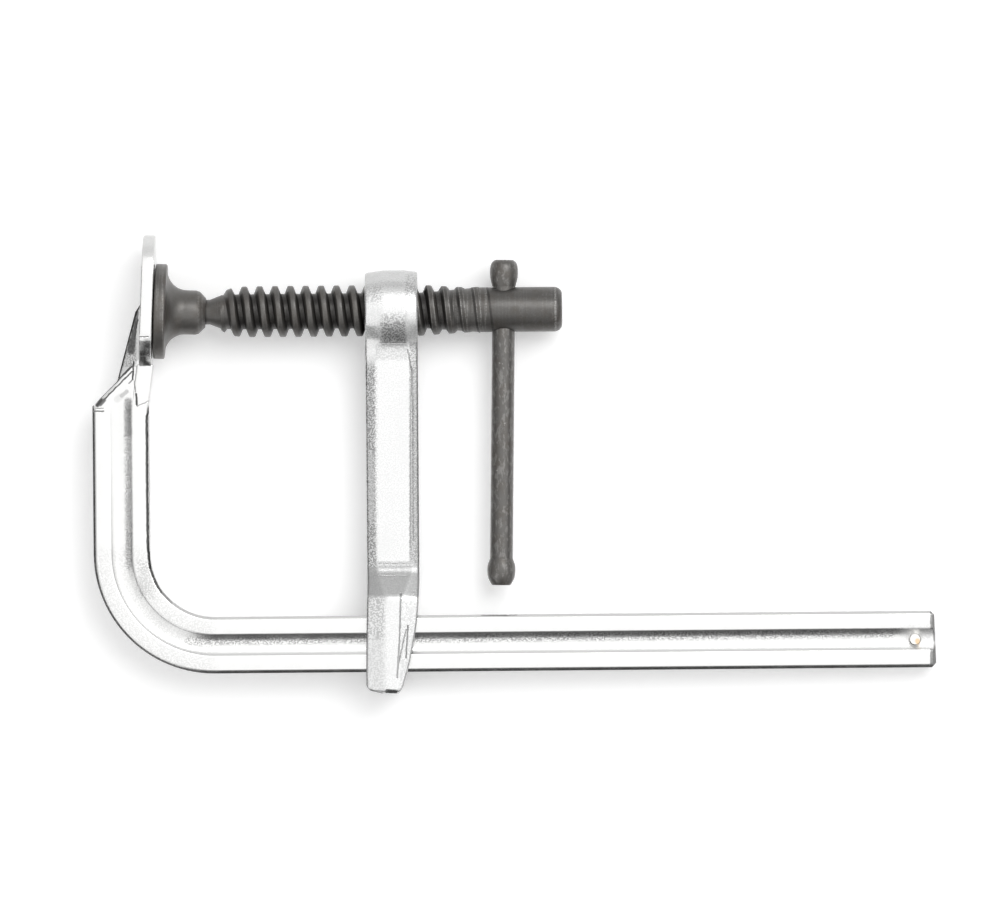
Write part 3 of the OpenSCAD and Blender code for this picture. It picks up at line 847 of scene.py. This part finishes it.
def worn_streaks(nodes, place):
    """Soft streaks along the handle, with a few bright specks."""
    drawn = nodes.vector("MULTIPLY", place, (1, 0.4, 1))
    streaks = nodes.ramp(nodes.noise(drawn, 0.8 * MM, detail=3.0, roughness=0.6), 0.48, 0.64) * 0.42
    specks = nodes.ramp(nodes.noise(place, 1.1 * MM, detail=1.0), 0.74, 0.8) * 0.8
    return streaks + specks


print("masks are ready")

# %% Blackened finish
SKIN = (0.084, 0.08, 0.075, 1)
SKIN_BROWN = (0.072, 0.064, 0.056, 1)
SKIN_SHADE = (0.018, 0.016, 0.014, 1)
SKIN_WORN_AND_LIT = (0.28, 0.275, 0.265, 1)
OIL = 0.3
OIL_GLOSS = 0.3


def blackened(name, wear_and_glints, deep=nowhere, lined=nowhere, grainy=1.0, oil=OIL, level=1.0):
    """Black oxide under oil, with masks for wear and painted highlights, which turn it grey, for painted
    shade, which darkens it, and for turned lines.
    """
    material = bpy.data.materials.new(name)
    nodes = NodeTree(material)
    place = nodes.node("ShaderNodeTexCoord", output="Object")
    grain = nodes.noise(place, 0.4 * MM, detail=3.0, roughness=0.6)
    patch = nodes.ramp(nodes.noise(place, 3.5 * MM, detail=4.0, roughness=0.6), 0.4, 0.68)
    # The deep mask is painted shade: it turns the skin near black and thins its oil.
    dark = deep(nodes, place)
    skin = nodes.mix(dark, nodes.mix(patch, SKIN, SKIN_BROWN), SKIN_SHADE)
    # Wear turns the skin grey, and on the screw painted highlights do too.
    worn_and_lit = (0.06 + wear_and_glints(nodes, place)) * (1 - grainy * (1 - nodes.ramp(grain, 0.3, 0.66)))
    relief = 0.03 * grainy * grain + 0.1 * lined(nodes, place) * turned_lines(nodes, place, 0.35 * MM)
    bump = nodes.node("ShaderNodeBump", None, {"Height": relief, "Distance": MM, "Strength": 1.0})
    shader = nodes.node(
        "ShaderNodeBsdfPrincipled",
        None,
        {
            "Base Color": nodes.mix(level, (0, 0, 0, 1), nodes.mix(worn_and_lit, skin, SKIN_WORN_AND_LIT)),
            "Metallic": 0.6,
            "Roughness": 0.26 + 0.06 * grainy + 0.14 * grainy * grain + 0.08 * patch,
            "Coat Weight": oil * (1 - 0.7 * dark),
            "Coat Roughness": OIL_GLOSS,
            "Normal": bump,
        },
    )
    nodes.end(shader)
    return material


# On the screw, painted shade darkens the thread's valleys and flanks, and painted highlights line the edges
# of the crests that run out.
screw_skin = blackened("screw_skin", crest_wear_and_highlights, painted_thread_shade, run_out, oil=0.3, level=0.73)
pad_skin = blackened("pad_skin", worn_rings, level=0.93)
bar_skin = blackened("bar_skin", worn_streaks, grainy=0.25, oil=0.42, level=0.88)
knob_skin = blackened("knob_skin", worn_streaks, grainy=0.7, level=0.95)
print("blackened finishes are ready")

# %% [markdown]
# ## Rail
# The rail is one bar with rounded corners and a shallow groove along each side, bent round to an upright.
# Its section could be cut from a box, but a bar is a sweep: the section is drawn with the pen, extruded to
# the bend, spun round it and extruded up the upright. The free end is sawn and dressed, which bisect does
# plane by plane.

# %% Draw the section
RAIL_H = 14.1 * MM
RAIL_T = 7.6 * MM
RAIL_EDGE = 0.72 * MM
RAIL_EDGE_D = 0.63 * MM
GROOVE_W = 5.5 * MM
GROOVE_D = 1.0 * MM
GROOVE_EDGE = 0.3 * MM
BEND_R = 16 * MM
X_AXIS = (1, 0, 0)
Z_AXIS = (0, 0, 1)

rail_low, rail_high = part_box("rail")
rail_mid_y = rail_low.y + RAIL_H / 2
end_x = rail_high.x + 0.1 * MM
half_h = RAIL_H / 2
half_t = RAIL_T / 2
groove_r = (GROOVE_W**2 / 4 + GROOVE_D**2) / (2 * GROOVE_D)
groove_half_angle = math.degrees(math.asin(GROOVE_W / 2 / groove_r))


def on_section(across, up):
    return (end_x, rail_mid_y + across, up)


pen = Pen("rail_and_jaw", on_section(GROOVE_W / 2, half_t))
for side in (1, -1):
    flat_end = side * (half_h - RAIL_EDGE)
    edge_up = side * (half_t - RAIL_EDGE_D)
    pen.line(*on_section(flat_end, side * half_t))
    pen.line(*on_section(side * half_h, edge_up))
    pen.line(*on_section(side * half_h, -edge_up))
    pen.line(*on_section(flat_end, -side * half_t))
    pen.line(*on_section(side * GROOVE_W / 2, -side * half_t))
    pen.arc(on_section(0, -side * (half_t + groove_r - GROOVE_D)), X_AXIS, 2 * groove_half_angle, 18)
pen.fill()
for edge_y in (GROOVE_W / 2, half_h - RAIL_EDGE):
    pick("VERT", lambda point: abs(abs(point.y - rail_mid_y) - edge_y) < 0.01 * MM)
    bpy.ops.mesh.bevel(offset=GROOVE_EDGE, segments=3, affect="VERTICES")
rail = pen.piece
print("section drawn, groove radius", round(groove_r / MM, 2), "mm")

# %% Sweep it along the rail, round the bend and up
GROOVE_FADE = (-24.5 * MM, -20.5 * MM)
bend_x = rail_low.x + RAIL_H + BEND_R
bend_y = rail_low.y + RAIL_H + BEND_R
bpy.ops.mesh.select_all(action="SELECT")
extrude(bend_x - end_x, 0, 0)
bpy.ops.mesh.spin(
    steps=28, angle=math.radians(90), center=(bend_x, bend_y, 0), axis=Z_AXIS, use_auto_merge=False
)
extrude(0, GROOVE_FADE[0] - bend_y, 0)
extrude(0, GROOVE_FADE[1] - GROOVE_FADE[0], 0)
extrude(0, -GROOVE_FADE[1], 0)
upright_mid_x = rail_low.x + half_h
for side in (1, -1):
    pick(
        "VERT",
        lambda point: point.y > GROOVE_FADE[1] - 0.01 * MM
        and abs(point.x - upright_mid_x) < GROOVE_W / 2 + GROOVE_EDGE
        and point.z * side > 0,
    )
    bpy.ops.transform.resize(value=(1, 1, 0), center_override=(0, 0, side * half_t))
bpy.ops.mesh.select_all(action="SELECT")
bpy.ops.mesh.normals_make_consistent(inside=False)
start_piece()
measure(rail)

# %% Cut the free end
END_LEAN = 0.035
END_ANGLE = math.radians(50)
END_BEVEL_L = 0.92 * MM
END_SHORT = 0.38 * MM
END_CORNER = 1.15 * MM

edit(rail)
dressed_x = rail_high.x - END_SHORT
end_low = Vector((dressed_x, rail_mid_y - half_h, 0))
end_high = Vector((dressed_x - END_LEAN * RAIL_H, rail_mid_y + half_h, 0))
cut(end_low, (1, END_LEAN, 0))
for side in (1, -1):
    bevel_start = Vector((dressed_x - END_BEVEL_L, 0, side * half_t))
    cut(bevel_start, (math.sin(END_ANGLE), 0, side * math.cos(END_ANGLE)))
cut(end_low - Vector((END_CORNER, 0, 0)), (1, -1, 0))
cut(end_high - Vector((END_CORNER * 0.8, 0, 0)), (1.2, 1, 0))
start_piece()
measure(rail)

# %% [markdown]
# ## Shoulder
# Under the jaw the upright ends in a 45-degree shoulder with a narrow bright ribbon along each edge. That is
# one straight cut and two slanted ones, and bisect makes each cut and closes it.

# %% Cut the shoulder
SHOULDER_CREST = -7.95 * MM
RIBBON_W = 1.2 * MM
RIBBON_LEAN = math.radians(17)
crest_way = Vector((-1, 1, 0)).normalized()
crest_point = Vector((0, SHOULDER_CREST, 0))

edit(rail)
cut(crest_point, crest_way)
for side in (1, -1):
    ribbon_way = crest_way * math.sin(RIBBON_LEAN) + Vector((0, 0, side * math.cos(RIBBON_LEAN)))
    cut(crest_point - crest_way * RIBBON_W + Vector((0, 0, side * half_t)), ribbon_way)
start_piece()
measure(rail)

# %% [markdown]
# ## Jaw
# The jaw is a rounded plate that leans a little towards the screw. A neck carries it on the upright's inner
# edge, and a rib stiffens its back. All of them are one forging, so each is modelled as a box, shaped, and
# joined to the rail.

# %% Forge the jaw plate
JAW_W = 24.4 * MM
JAW_ABOVE = 19.4 * MM
JAW_BELOW = 13.9 * MM
JAW_T = 3.1 * MM
JAW_CORNER = 10 * MM
JAW_EDGE = 0.45 * MM
TOE_IN = math.radians(2.4)


def pick_along_x():
    """Selects the edges that run along X, in edit mode."""
    bpy.ops.mesh.select_mode(type="EDGE")
    bpy.ops.mesh.select_all(action="DESELECT")
    shape = bmesh.from_edit_mesh(bpy.context.object.data)
    for edge in shape.edges:
        start, end = [corner.co for corner in edge.verts]
        edge.select = abs(end.x - start.x) > 0.9 * edge.calc_length()
    shape.select_flush_mode()
    bmesh.update_edit_mesh(bpy.context.object.data)


plate = box_piece("jaw_plate", (-JAW_T, -JAW_BELOW, -JAW_W / 2), (0, JAW_ABOVE, JAW_W / 2))
edit(plate)
pick_along_x()
bpy.ops.mesh.bevel(offset=JAW_CORNER, segments=12, affect="EDGES")
for side_x in (0, -JAW_T):
    pick("EDGE", lambda point: abs(point.x - side_x) < 0.01 * MM)
    bpy.ops.mesh.bevel(offset=JAW_EDGE, segments=3, affect="EDGES")
start_piece()
plate.rotation_euler.z = -TOE_IN
apply_place(plate)
measure(plate)

# %% Forge the neck and the rib
NECK_W = 11 * MM
NECK_T = 4.2 * MM
NECK_L = 11 * MM
NECK_SINK = 0.3 * MM
RIB_TOP = Vector((-4.6 * MM, 0.1 * MM, 0))
RIB_FOOT = 9.25 * MM
RIB_HIGH = 2.4 * MM
RIB_W = 7.5 * MM
RIB_EDGE_W = 1.2 * MM
RIB_RISE = 0.5
upright_x = rail_low.x + RAIL_H

neck = box_piece(
    "jaw_neck",
    (-NECK_T, -JAW_BELOW - NECK_L, -NECK_W / 2),
    (-0.05 * MM, -JAW_BELOW + 1 * MM, NECK_W / 2),
)
edit(neck)
pick("VERT", lambda point: point.y < -JAW_BELOW - NECK_L / 2)
bpy.ops.transform.resize(value=(1, 1, (RAIL_T - 2 * NECK_SINK) / NECK_W), center_override=(0, 0, 0))
bpy.ops.transform.translate(value=(upright_x - 0.2 * MM, 0, 0))
pick("EDGE", lambda point: True)
bpy.ops.mesh.bevel(offset=0.5 * MM, segments=2, affect="EDGES")
start_piece()

rib_back = Vector((-RIB_FOOT, SHOULDER_CREST - RIB_FOOT, 0)) - RIB_TOP
rib_corner = RIB_TOP + rib_back - Vector((0, 3 * MM, RIB_W / 2))
rib = box_piece("jaw_rib", rib_corner, (-JAW_T / 2, RIB_HIGH, RIB_W / 2))
edit(rib)
cut(RIB_TOP, (rib_back.y, -rib_back.x, 0))
cut(RIB_TOP, (RIB_TOP.y - RIB_HIGH, -JAW_T - RIB_TOP.x, 0))
for side in (1, -1):
    rib_way = Vector((rib_back.y * RIB_RISE, -rib_back.x * RIB_RISE, -side * rib_back.y))
    cut(RIB_TOP + Vector((0, 0, side * RIB_EDGE_W / 2)), rib_way)
start_piece()
for forged in (plate, neck, rib):
    combine(rail, forged, "UNION")
measure(rail)

# %% Drill the rail and finish it
PIN_D = 3.1 * MM
pin_low, pin_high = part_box("stop_pin")
pin_middle = (pin_low + pin_high) / 2
drill_reach = Vector((0, 0, RAIL_T))
drill = rod_piece("drill", PIN_D / 2, pin_middle - drill_reach, pin_middle + drill_reach, 40)
combine(rail, drill, "DIFFERENCE")
note_facing(rail)
dress(rail, "rail", "rail", rail_plating, 28)

# %% [markdown]
# ## Stop pin
# A short pin near the rail's free end keeps the arm from sliding off. It is turned from an outline whose
# ends are slightly domed, as a pin that was pressed in and dressed.

# %% Turn the stop pin
PIN_DOME = 0.25 * MM
pin_half = (pin_high.z - pin_low.z) / 2
pin_r = (pin_high.x - pin_low.x) / 2
# Shares of the pin's radius and of its dome, from the side to the middle of an end
pin_end = [(1, 2), (0.95, 0.8), (0.82, 0.2), (0, 0)]
pen = Pen("rail_stop", pin_middle - Vector((0, 0, pin_half)))
for side, points in ((-1, pin_end[-2::-1]), (1, pin_end)):
    for share, drop in points:
        pen.line(*(pin_middle + Vector((share * pin_r, 0, side * (pin_half - drop * PIN_DOME)))))
stop_pin = pen.revolve(pin_middle, Z_AXIS, 40)
note_facing(stop_pin)
dress(stop_pin, "stop_pin", "rail", pin_plating)

# %% [markdown]
# ## Sliding arm
# The arm is a drop forging: a boss round the screw, a flat shank, a slope and a loop round the rail, with
# broad bevels along both sides. Boxes and cuts would give hard facets. A forging is softer, so a grid is
# laid over the side view, one row for each step along it, and each point is lowered along the bevels by a
# soft ramp. The mirrored lower half closes it, and the bore and the slot are cut out last.

# %% The arm's side view as a row of points
BOSS_R = 10.1 * MM
SHANK_HALF_T = 6.0 * MM
HOLLOW_R = 5.0 * MM
LOOP_HALF_T = 10.05 * MM
LOOP_INNER_WALL = 4.6 * MM
LOOP_SLOPE = 6.8 * MM
LOOP_ROUND = 1.0 * MM
LOOP_BULGE = 0.15 * MM
ROW_STEP = 0.3 * MM
SOFTEN_TIMES = 6

throat_y = rail_low.y + RAIL_H
loop_top_y = throat_y + LOOP_INNER_WALL
loop_end_y = arm_low.y
hollow_z = SHANK_HALF_T + HOLLOW_R
hollow_y = -math.sqrt((BOSS_R + HOLLOW_R) ** 2 - hollow_z**2)
touch = math.atan2(hollow_z, hollow_y)
boss_arc = [(BOSS_R * math.cos(angle), BOSS_R * math.sin(angle)) for angle in np.linspace(0, touch, 90)]
hollow_arc = [
    (hollow_y + HOLLOW_R * math.cos(angle), hollow_z + HOLLOW_R * math.sin(angle))
    for angle in np.linspace(touch - math.pi, -math.pi / 2, 20)
]
corners = [
    (loop_top_y + LOOP_SLOPE, SHANK_HALF_T),
    (loop_top_y, LOOP_HALF_T),
    (loop_end_y + LOOP_ROUND, LOOP_HALF_T),
    (loop_end_y + LOOP_BULGE, LOOP_HALF_T - LOOP_ROUND),
    (loop_end_y, 0),
]
outline = np.array(boss_arc + hollow_arc[1:] + corners)


def even_points(points, step):
    """The same line with points at an even step, softened over a few of them."""
    length = np.concatenate([[0], np.cumsum(np.linalg.norm(np.diff(points, axis=0), axis=1))])
    places = np.linspace(0, length[-1], int(length[-1] / step) + 1)
    even = np.stack([np.interp(places, length, points[:, axis]) for axis in (0, 1)], axis=1)
    soft = even.copy()
    for _ in range(SOFTEN_TIMES):
        soft[1:-1] = (soft[:-2] + 2 * soft[1:-1] + soft[2:]) / 4
    return soft


side_view = even_points(outline, ROW_STEP)
print("side view:", len(side_view), "rows")

# %% Lay the skin over it
BEVEL_SOFT = 0.14
EDGE_ROUND = 0.5 * MM
TOE_CORNER = 1.3 * MM
TOE_REACH = 5 * MM
COLUMNS = 52
# Along the arm from its lower end to the boss, in millimetres: its two sides, and each bevel's width and fall
side_places = [-95.95, -93.4, -88.3, -81.3, -78.1, -73.6, -67.2, 0]
near_sides = [-0.4, -0.4, -0.38, -0.3, -0.2, -0.1, 0, 0]
far_sides = [8.0, 8.95, 10.4, 11.75, 12.25, 12.7, 13.0, 13.1]
bevel_places = [-95.95, -91, -81, -71.7, -64.9, -58, -14, -10.5, -7, -4, 10.1]
near_widths = [4.8, 4.8, 4.8, 4.8, 2.6, 2.4, 2.4, 3.2, 4.2, 4.4, 4.4]
near_falls = [0.24, 0.24, 0.24, 0.26, 0.4, 0.43, 0.4, 0.16, 0.32, 0.17, 0.15]
far_widths = [0.8, 1.8, 3.3, 3.9, 1.6, 1.2, 1.9, 2.2, 2.7, 3.0, 3.3]
far_falls = [0.3, 0.3, 0.26, 0.26, 0.35, 0.4, 0.35, 0.33, 0.36, 0.2, 0.14]


def soft_ramp(value, soft):
    """0 below 0 and the value itself above it, with a soft change between."""
    return np.where(value > soft, value, np.where(value < -soft, 0, (value + soft) ** 2 / (4 * soft)))


rows = len(side_view)
slope = np.gradient(side_view, axis=0)
inward = np.stack([slope[:, 1], -slope[:, 0]], axis=1)
inward /= -np.linalg.norm(inward, axis=1)[:, None]
start_piece()
bpy.ops.mesh.primitive_grid_add(x_subdivisions=COLUMNS, y_subdivisions=rows - 1, size=2)
arm = bpy.context.object
arm.name = "arm_forging"
points = np.array([vertex.co for vertex in arm.data.vertices])
across = 0.5 + 0.5 * np.sin(points[:, 0] * math.pi / 2)
row = np.rint((1 - points[:, 1]) / 2 * (rows - 1)).astype(int)
y, z = side_view[row].T
near_edge = np.interp(y / MM, side_places, near_sides) * MM
far_edge = np.interp(y / MM, side_places, far_sides) * MM
x = near_edge + across * (far_edge - near_edge)
drop = np.zeros(len(x))
for distance, widths, falls in (
    (x - near_edge, near_widths, near_falls),
    (far_edge - x, far_widths, far_falls),
):
    width = np.interp(y / MM, bevel_places, widths) * MM
    drop += np.interp(y / MM, bevel_places, falls) * width * soft_ramp(1 - distance / width, BEVEL_SOFT)
    drop += EDGE_ROUND / 2 * np.clip(1 - distance / EDGE_ROUND, 0, 1) ** 2
y = y + drop * inward[row, 0]
z = np.maximum(z + drop * inward[row, 1], 0)
corner_lift = TOE_CORNER * np.clip(1 - (x - near_edge) / TOE_CORNER, 0, 1) ** 2
y += corner_lift * np.clip(1 - (y - loop_end_y) / TOE_REACH, 0, 1)
arm.data.vertices.foreach_set("co", np.stack([arm_low.x + x, y, z], axis=1).ravel())
arm.data.update()
print("arm skin:", len(points), "points")

# %% Close the arm, bore it and cut its slot
BORE_R = 6.5 * MM
SLOT_CLEAR = 0.35 * MM

edit(arm)
bpy.ops.mesh.select_mode(type="EDGE")
bpy.ops.mesh.select_all(action="SELECT")
bpy.ops.mesh.region_to_loop()
extrude(0, 0, 0)
bpy.ops.transform.resize(value=(1, 1, 0), center_override=(0, 0, 0))
bpy.ops.mesh.select_all(action="SELECT")
bpy.ops.mesh.remove_doubles(threshold=0.02 * MM)
bpy.ops.mesh.normals_make_consistent(inside=False)
start_piece()
apply_modifier(
    arm, "MIRROR", use_axis=(False, False, True), use_mirror_merge=True, merge_threshold=0.01 * MM
)
edit(arm)
bpy.ops.mesh.select_all(action="SELECT")
bpy.ops.mesh.remove_doubles(threshold=0.02 * MM)
bpy.ops.mesh.dissolve_degenerate(threshold=0.002 * MM)
bpy.ops.mesh.normals_make_consistent(inside=False)
start_piece()
measure(arm)
bore = rod_piece("bore", BORE_R, (arm_low.x - MM, 0, 0), (arm_high.x + MM, 0, 0), 96)
combine(arm, bore, "DIFFERENCE")
slot_h = half_h + SLOT_CLEAR
slot_t = half_t + SLOT_CLEAR
slot = box_piece(
    "slot",
    (arm_low.x - MM, rail_mid_y - slot_h, -slot_t),
    (arm_high.x + MM, rail_mid_y + slot_h, slot_t),
)
combine(arm, slot, "DIFFERENCE")
note_facing(arm)
dress(arm, "sliding_arm", "arm", arm_plating, 40)

# %% [markdown]
# ## Screw
# The screw has a ball in the pad, a slim neck, a coarse trapezoidal thread and a plain head. The core is
# turned from an outline. The thread is one turn of its profile, swept by the Screw modifier, whose radius is
# then eased in code: it grows out of the neck in two turns and runs out towards the head in four.

# %% Turn the screw's core
BALL_D = 8.4 * MM
NECK_D = 6.2 * MM
NECK_REACH = 5.9 * MM
COLLAR_D = 8.5 * MM
COLLAR_L = 2.9 * MM
THREAD_L = 64 * MM
HEAD_D = 11.2 * MM
HEAD_CHAMFER = 1.6 * MM
CORE_D = 8.0 * MM

screw_low, screw_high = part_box("spindle")
ball_x = screw_low.x + BALL_D / 2
neck_end_x = ball_x + NECK_REACH
thread_x = neck_end_x + COLLAR_L
head_x = thread_x + THREAD_L
tip_x = screw_high.x
ball_half_angle = math.degrees(math.asin(NECK_D / BALL_D))

pen = Pen("screw", (ball_x - BALL_D / 2, 0, 0))
pen.arc((ball_x, 0, 0), Z_AXIS, ball_half_angle - 180, 20)
# Places along the axis and radii, from the neck to the tip
core = [
    (neck_end_x, NECK_D / 2),
    (thread_x, COLLAR_D / 2),
    (thread_x + 0.6 * MM, COLLAR_D / 2),
    (thread_x + MM, CORE_D / 2),
    (head_x - 0.2 * MM, CORE_D / 2),
    (head_x, HEAD_D / 2 - 0.15 * MM),
    (head_x + 0.3 * MM, HEAD_D / 2),
    (tip_x - HEAD_CHAMFER, HEAD_D / 2),
    (tip_x - 0.5 * HEAD_CHAMFER, HEAD_D / 2 - 0.22 * HEAD_CHAMFER),
    (tip_x - 0.1 * HEAD_CHAMFER, HEAD_D / 2 - 0.62 * HEAD_CHAMFER),
    (tip_x, HEAD_D / 2 - HEAD_CHAMFER),
    (tip_x, 0),
]
for place, radius in core:
    pen.line(place, radius, 0)
screw = pen.revolve((0, 0, 0), X_AXIS, 72)
measure(screw)

# %% Sweep the thread
CREST_W_X = 1.25 * MM
FLANK_W = 0.75 * MM
THREAD_ROOT_R = 4.4 * MM
THREAD_CREST_R = 6.4 * MM
TURNS_BEFORE = 3
TURNS = 19
RUN_OUT_X = 66.5 * MM
RUN_OUT_ROOT = 0.08
RUN_OUT_CREST = 0.062
RIDGE_LEFT = 0.22 * MM
GROWTH_X = 16.4 * MM
GROWTH_L = 1.9 * MM

start_x = CREST_AT - CREST_W_X / 2 - FLANK_W - TURNS_BEFORE * PITCH
pen = Pen("thread", (start_x, THREAD_ROOT_R, 0))
pen.line(start_x + FLANK_W, THREAD_CREST_R, 0)
pen.line(start_x + FLANK_W + CREST_W_X, THREAD_CREST_R, 0)
pen.line(start_x + 2 * FLANK_W + CREST_W_X, THREAD_ROOT_R, 0)
pen.line(start_x + PITCH, THREAD_ROOT_R, 0)
pick("VERT", lambda point: start_x + 0.1 * MM < point.x < start_x + PITCH - 0.1 * MM)
bpy.ops.mesh.bevel(offset=0.2 * MM, segments=2, affect="VERTICES")
thread = pen.piece
apply_modifier(
    thread, "SCREW", axis="X", steps=64, render_steps=64, iterations=TURNS, screw_offset=PITCH
)
points = np.array([vertex.co for vertex in thread.data.vertices])
radius = np.hypot(points[:, 1], points[:, 2])
rise = (radius - THREAD_ROOT_R) / (THREAD_CREST_R - THREAD_ROOT_R)
along = points[:, 0]
past = np.maximum(along - RUN_OUT_X, 0)
grown = 1 - np.exp(-np.maximum(along - GROWTH_X, 0) / GROWTH_L)
root_r = np.minimum(THREAD_ROOT_R - 0.35 * MM * (1 - grown) + RUN_OUT_ROOT * past, HEAD_D / 2 - 0.05 * MM)
crest_r = root_r + (THREAD_CREST_R - THREAD_ROOT_R) * grown - (RUN_OUT_ROOT + RUN_OUT_CREST) * past
new_radius = root_r + np.maximum(crest_r - root_r, RIDGE_LEFT * (past > 0)) * rise
points[:, 1:] *= (new_radius / radius)[:, None]
thread.data.vertices.foreach_set("co", points.ravel())
thread.data.update()

edit(thread)
bpy.ops.mesh.select_all(action="SELECT")
bpy.ops.mesh.remove_doubles(threshold=0.02 * MM)
for place, way in ((thread_x - 0.2 * MM, -1), (head_x + 0.6 * MM, 1)):
    cut((place, 0, 0), (way, 0, 0))
bpy.ops.mesh.select_all(action="SELECT")
bpy.ops.mesh.normals_make_consistent(inside=False)
start_piece()
measure(thread)
combine(screw, thread, "UNION")
measure(screw)

# %% Drill the head for the handle
BAR_D = 5.7 * MM
BAR_CLEAR = 0.25 * MM
HOLE_FROM_END = 14.6 * MM
hole_x = tip_x - HOLE_FROM_END
hole_half_l = 10 * MM
drill = rod_piece("drill", BAR_D / 2 + BAR_CLEAR, (hole_x, -hole_half_l, 0), (hole_x, hole_half_l, 0), 48)
combine(screw, drill, "DIFFERENCE")
dress(screw, "spindle", "spindle", screw_skin, 35)

# %% [markdown]
# ## Swivel pad
# The pad is a turned disc with a bell that is closed round the ball. It is one outline, revolved: outside
# from the face to the rim, then back inside round the ball's hollow. It leans with the jaw it lies on.

# %% Turn the pad
FLANGE_D = 23.8 * MM
FLANGE_T = 2.9 * MM
FLANGE_EDGE = 0.5 * MM
BELL_D = 11.1 * MM
FLARE_R = 5.0 * MM
BELL_L = 3.0 * MM
RIM_H = 1.9 * MM
RIM_WALL = 0.4 * MM
BALL_SEAT = 8.0 * MM
BALL_CLEAR = 0.1 * MM
NECK_CLEAR = 0.4 * MM

hollow_ball_r = BALL_D / 2 + BALL_CLEAR
neck_hole_r = NECK_D / 2 + NECK_CLEAR
face_x = ball_x - BALL_SEAT
flange_r = FLANGE_D / 2
bell_r = BELL_D / 2
flare_end = face_x + FLANGE_T + FLARE_R
rim_end = flare_end + BELL_L + RIM_H
mouth_angle = math.degrees(math.asin(neck_hole_r / hollow_ball_r))

pen = Pen("pad", (face_x, 0, 0))
pen.line(face_x, flange_r - FLANGE_EDGE, 0)
pen.arc((face_x + FLANGE_EDGE, flange_r - FLANGE_EDGE, 0), Z_AXIS, -90, 5)
pen.line(face_x + FLANGE_T - FLANGE_EDGE, flange_r, 0)
pen.arc((face_x + FLANGE_T - FLANGE_EDGE, flange_r - FLANGE_EDGE, 0), Z_AXIS, -90, 5)
pen.line(face_x + FLANGE_T, bell_r + FLARE_R, 0)
pen.arc((flare_end, bell_r + FLARE_R, 0), Z_AXIS, 90, 16)
pen.line(flare_end + BELL_L - 0.6 * MM, bell_r, 0)
pen.line(flare_end + BELL_L + 0.3 * MM, bell_r - 0.25 * MM, 0)
pen.line(rim_end - 0.2 * MM, neck_hole_r + RIM_WALL, 0)
pen.line(rim_end, neck_hole_r + RIM_WALL - 0.2 * MM, 0)
pen.line(rim_end, neck_hole_r, 0)
pen.line(ball_x + hollow_ball_r * math.cos(math.radians(mouth_angle)), neck_hole_r, 0)
pen.arc((ball_x, 0, 0), Z_AXIS, 180 - mouth_angle, 20)
pad = pen.revolve((0, 0, 0), X_AXIS, 96)
pad.location = Matrix.Rotation(-TOE_IN, 3, "Z") @ Vector((-ball_x, 0, 0)) + Vector((ball_x, 0, 0))
pad.rotation_euler.z = -TOE_IN
apply_place(pad)
dress(pad, "swivel_pad", "pad", pad_skin, 30)

# %% [markdown]
# ## Handle
# The handle is a plain bar that slides through the head, with a barrel-shaped knob on each end. The bar is a
# cylinder whose ends are bevelled inside the knobs. A knob could be a cylinder with a bevel, but the
# photograph shows two slightly different barrels, so each is turned from an outline of its own.

# %% Make the bar
HANDLE_LEAN = math.radians(1)
KNOB_CAP = 1.6 * MM
KNOB_GAP = 0.2 * MM
KNOB_L = 6.6 * MM
HANDLE_L = 81.3 * MM
hole_middle = Vector((hole_x, 0, 0))
handle_way = Vector((math.sin(HANDLE_LEAN), math.cos(HANDLE_LEAN), 0))
handle_top = HEAD_D / 2 + KNOB_GAP + KNOB_L
handle_end = handle_top - HANDLE_L
bar = rod_piece(
    "tommy_bar",
    BAR_D / 2,
    hole_middle + handle_way * (handle_end + KNOB_CAP),
    hole_middle + handle_way * (handle_top - KNOB_CAP),
    64,
)
edit(bar)
bpy.ops.mesh.select_mode(type="FACE")
bpy.ops.mesh.select_all(action="DESELECT")
bpy.ops.mesh.select_face_by_sides(number=4, type="GREATER")
bpy.ops.mesh.inset(thickness=0.3 * MM, depth=0.3 * MM)
start_piece()
dress(bar, "handle_bar", "handle", bar_skin)

# %% Turn the knobs
KNOB_R = 3.52 * MM
KNOB_BORE_R = BAR_D / 2 + 0.02 * MM
# Shares of the length and of the radius, from the open foot to the closed end
top_shape = [
    (0, 0.82), (0.06, 0.85), (0.18, 0.91), (0.32, 0.97), (0.48, 1), (0.66, 0.995), (0.8, 0.95), (0.9, 0.87),
]
bottom_shape = [
    (0, 0.82), (0.08, 0.87), (0.18, 0.945), (0.3, 0.99), (0.44, 1), (0.6, 0.98), (0.74, 0.92), (0.86, 0.81),
]


def knob(name, shape, end_share):
    """A barrel along Y, its open foot at the origin and its closed end up."""
    pen = Pen(name, (0, KNOB_L - KNOB_CAP, 0))
    pen.line(KNOB_BORE_R, KNOB_L - KNOB_CAP, 0)
    pen.line(KNOB_BORE_R, 0, 0)
    for height, radius in shape:
        pen.line(radius * KNOB_R, height * KNOB_L, 0)
    pen.line((end_share + 0.08) * KNOB_R, 0.98 * KNOB_L, 0)
    pen.line(end_share * KNOB_R, KNOB_L, 0)
    pen.line(0, KNOB_L, 0)
    return pen.revolve((0, 0, 0), (0, 1, 0), 64)


for name, node, height, turn, shape, end_share in (
    ("top_knob", "upper_knob", handle_top - KNOB_L, 0, top_shape, 0.63),
    ("bottom_knob", "lower_knob", handle_end + KNOB_L, math.pi, bottom_shape, 0.6),
):
    piece = knob(name, shape, end_share)
    piece.location = hole_middle + handle_way * height
    piece.rotation_euler = (0, 0, turn - HANDLE_LEAN)
    apply_place(piece)
    dress(piece, node, "handle", knob_skin, 40)
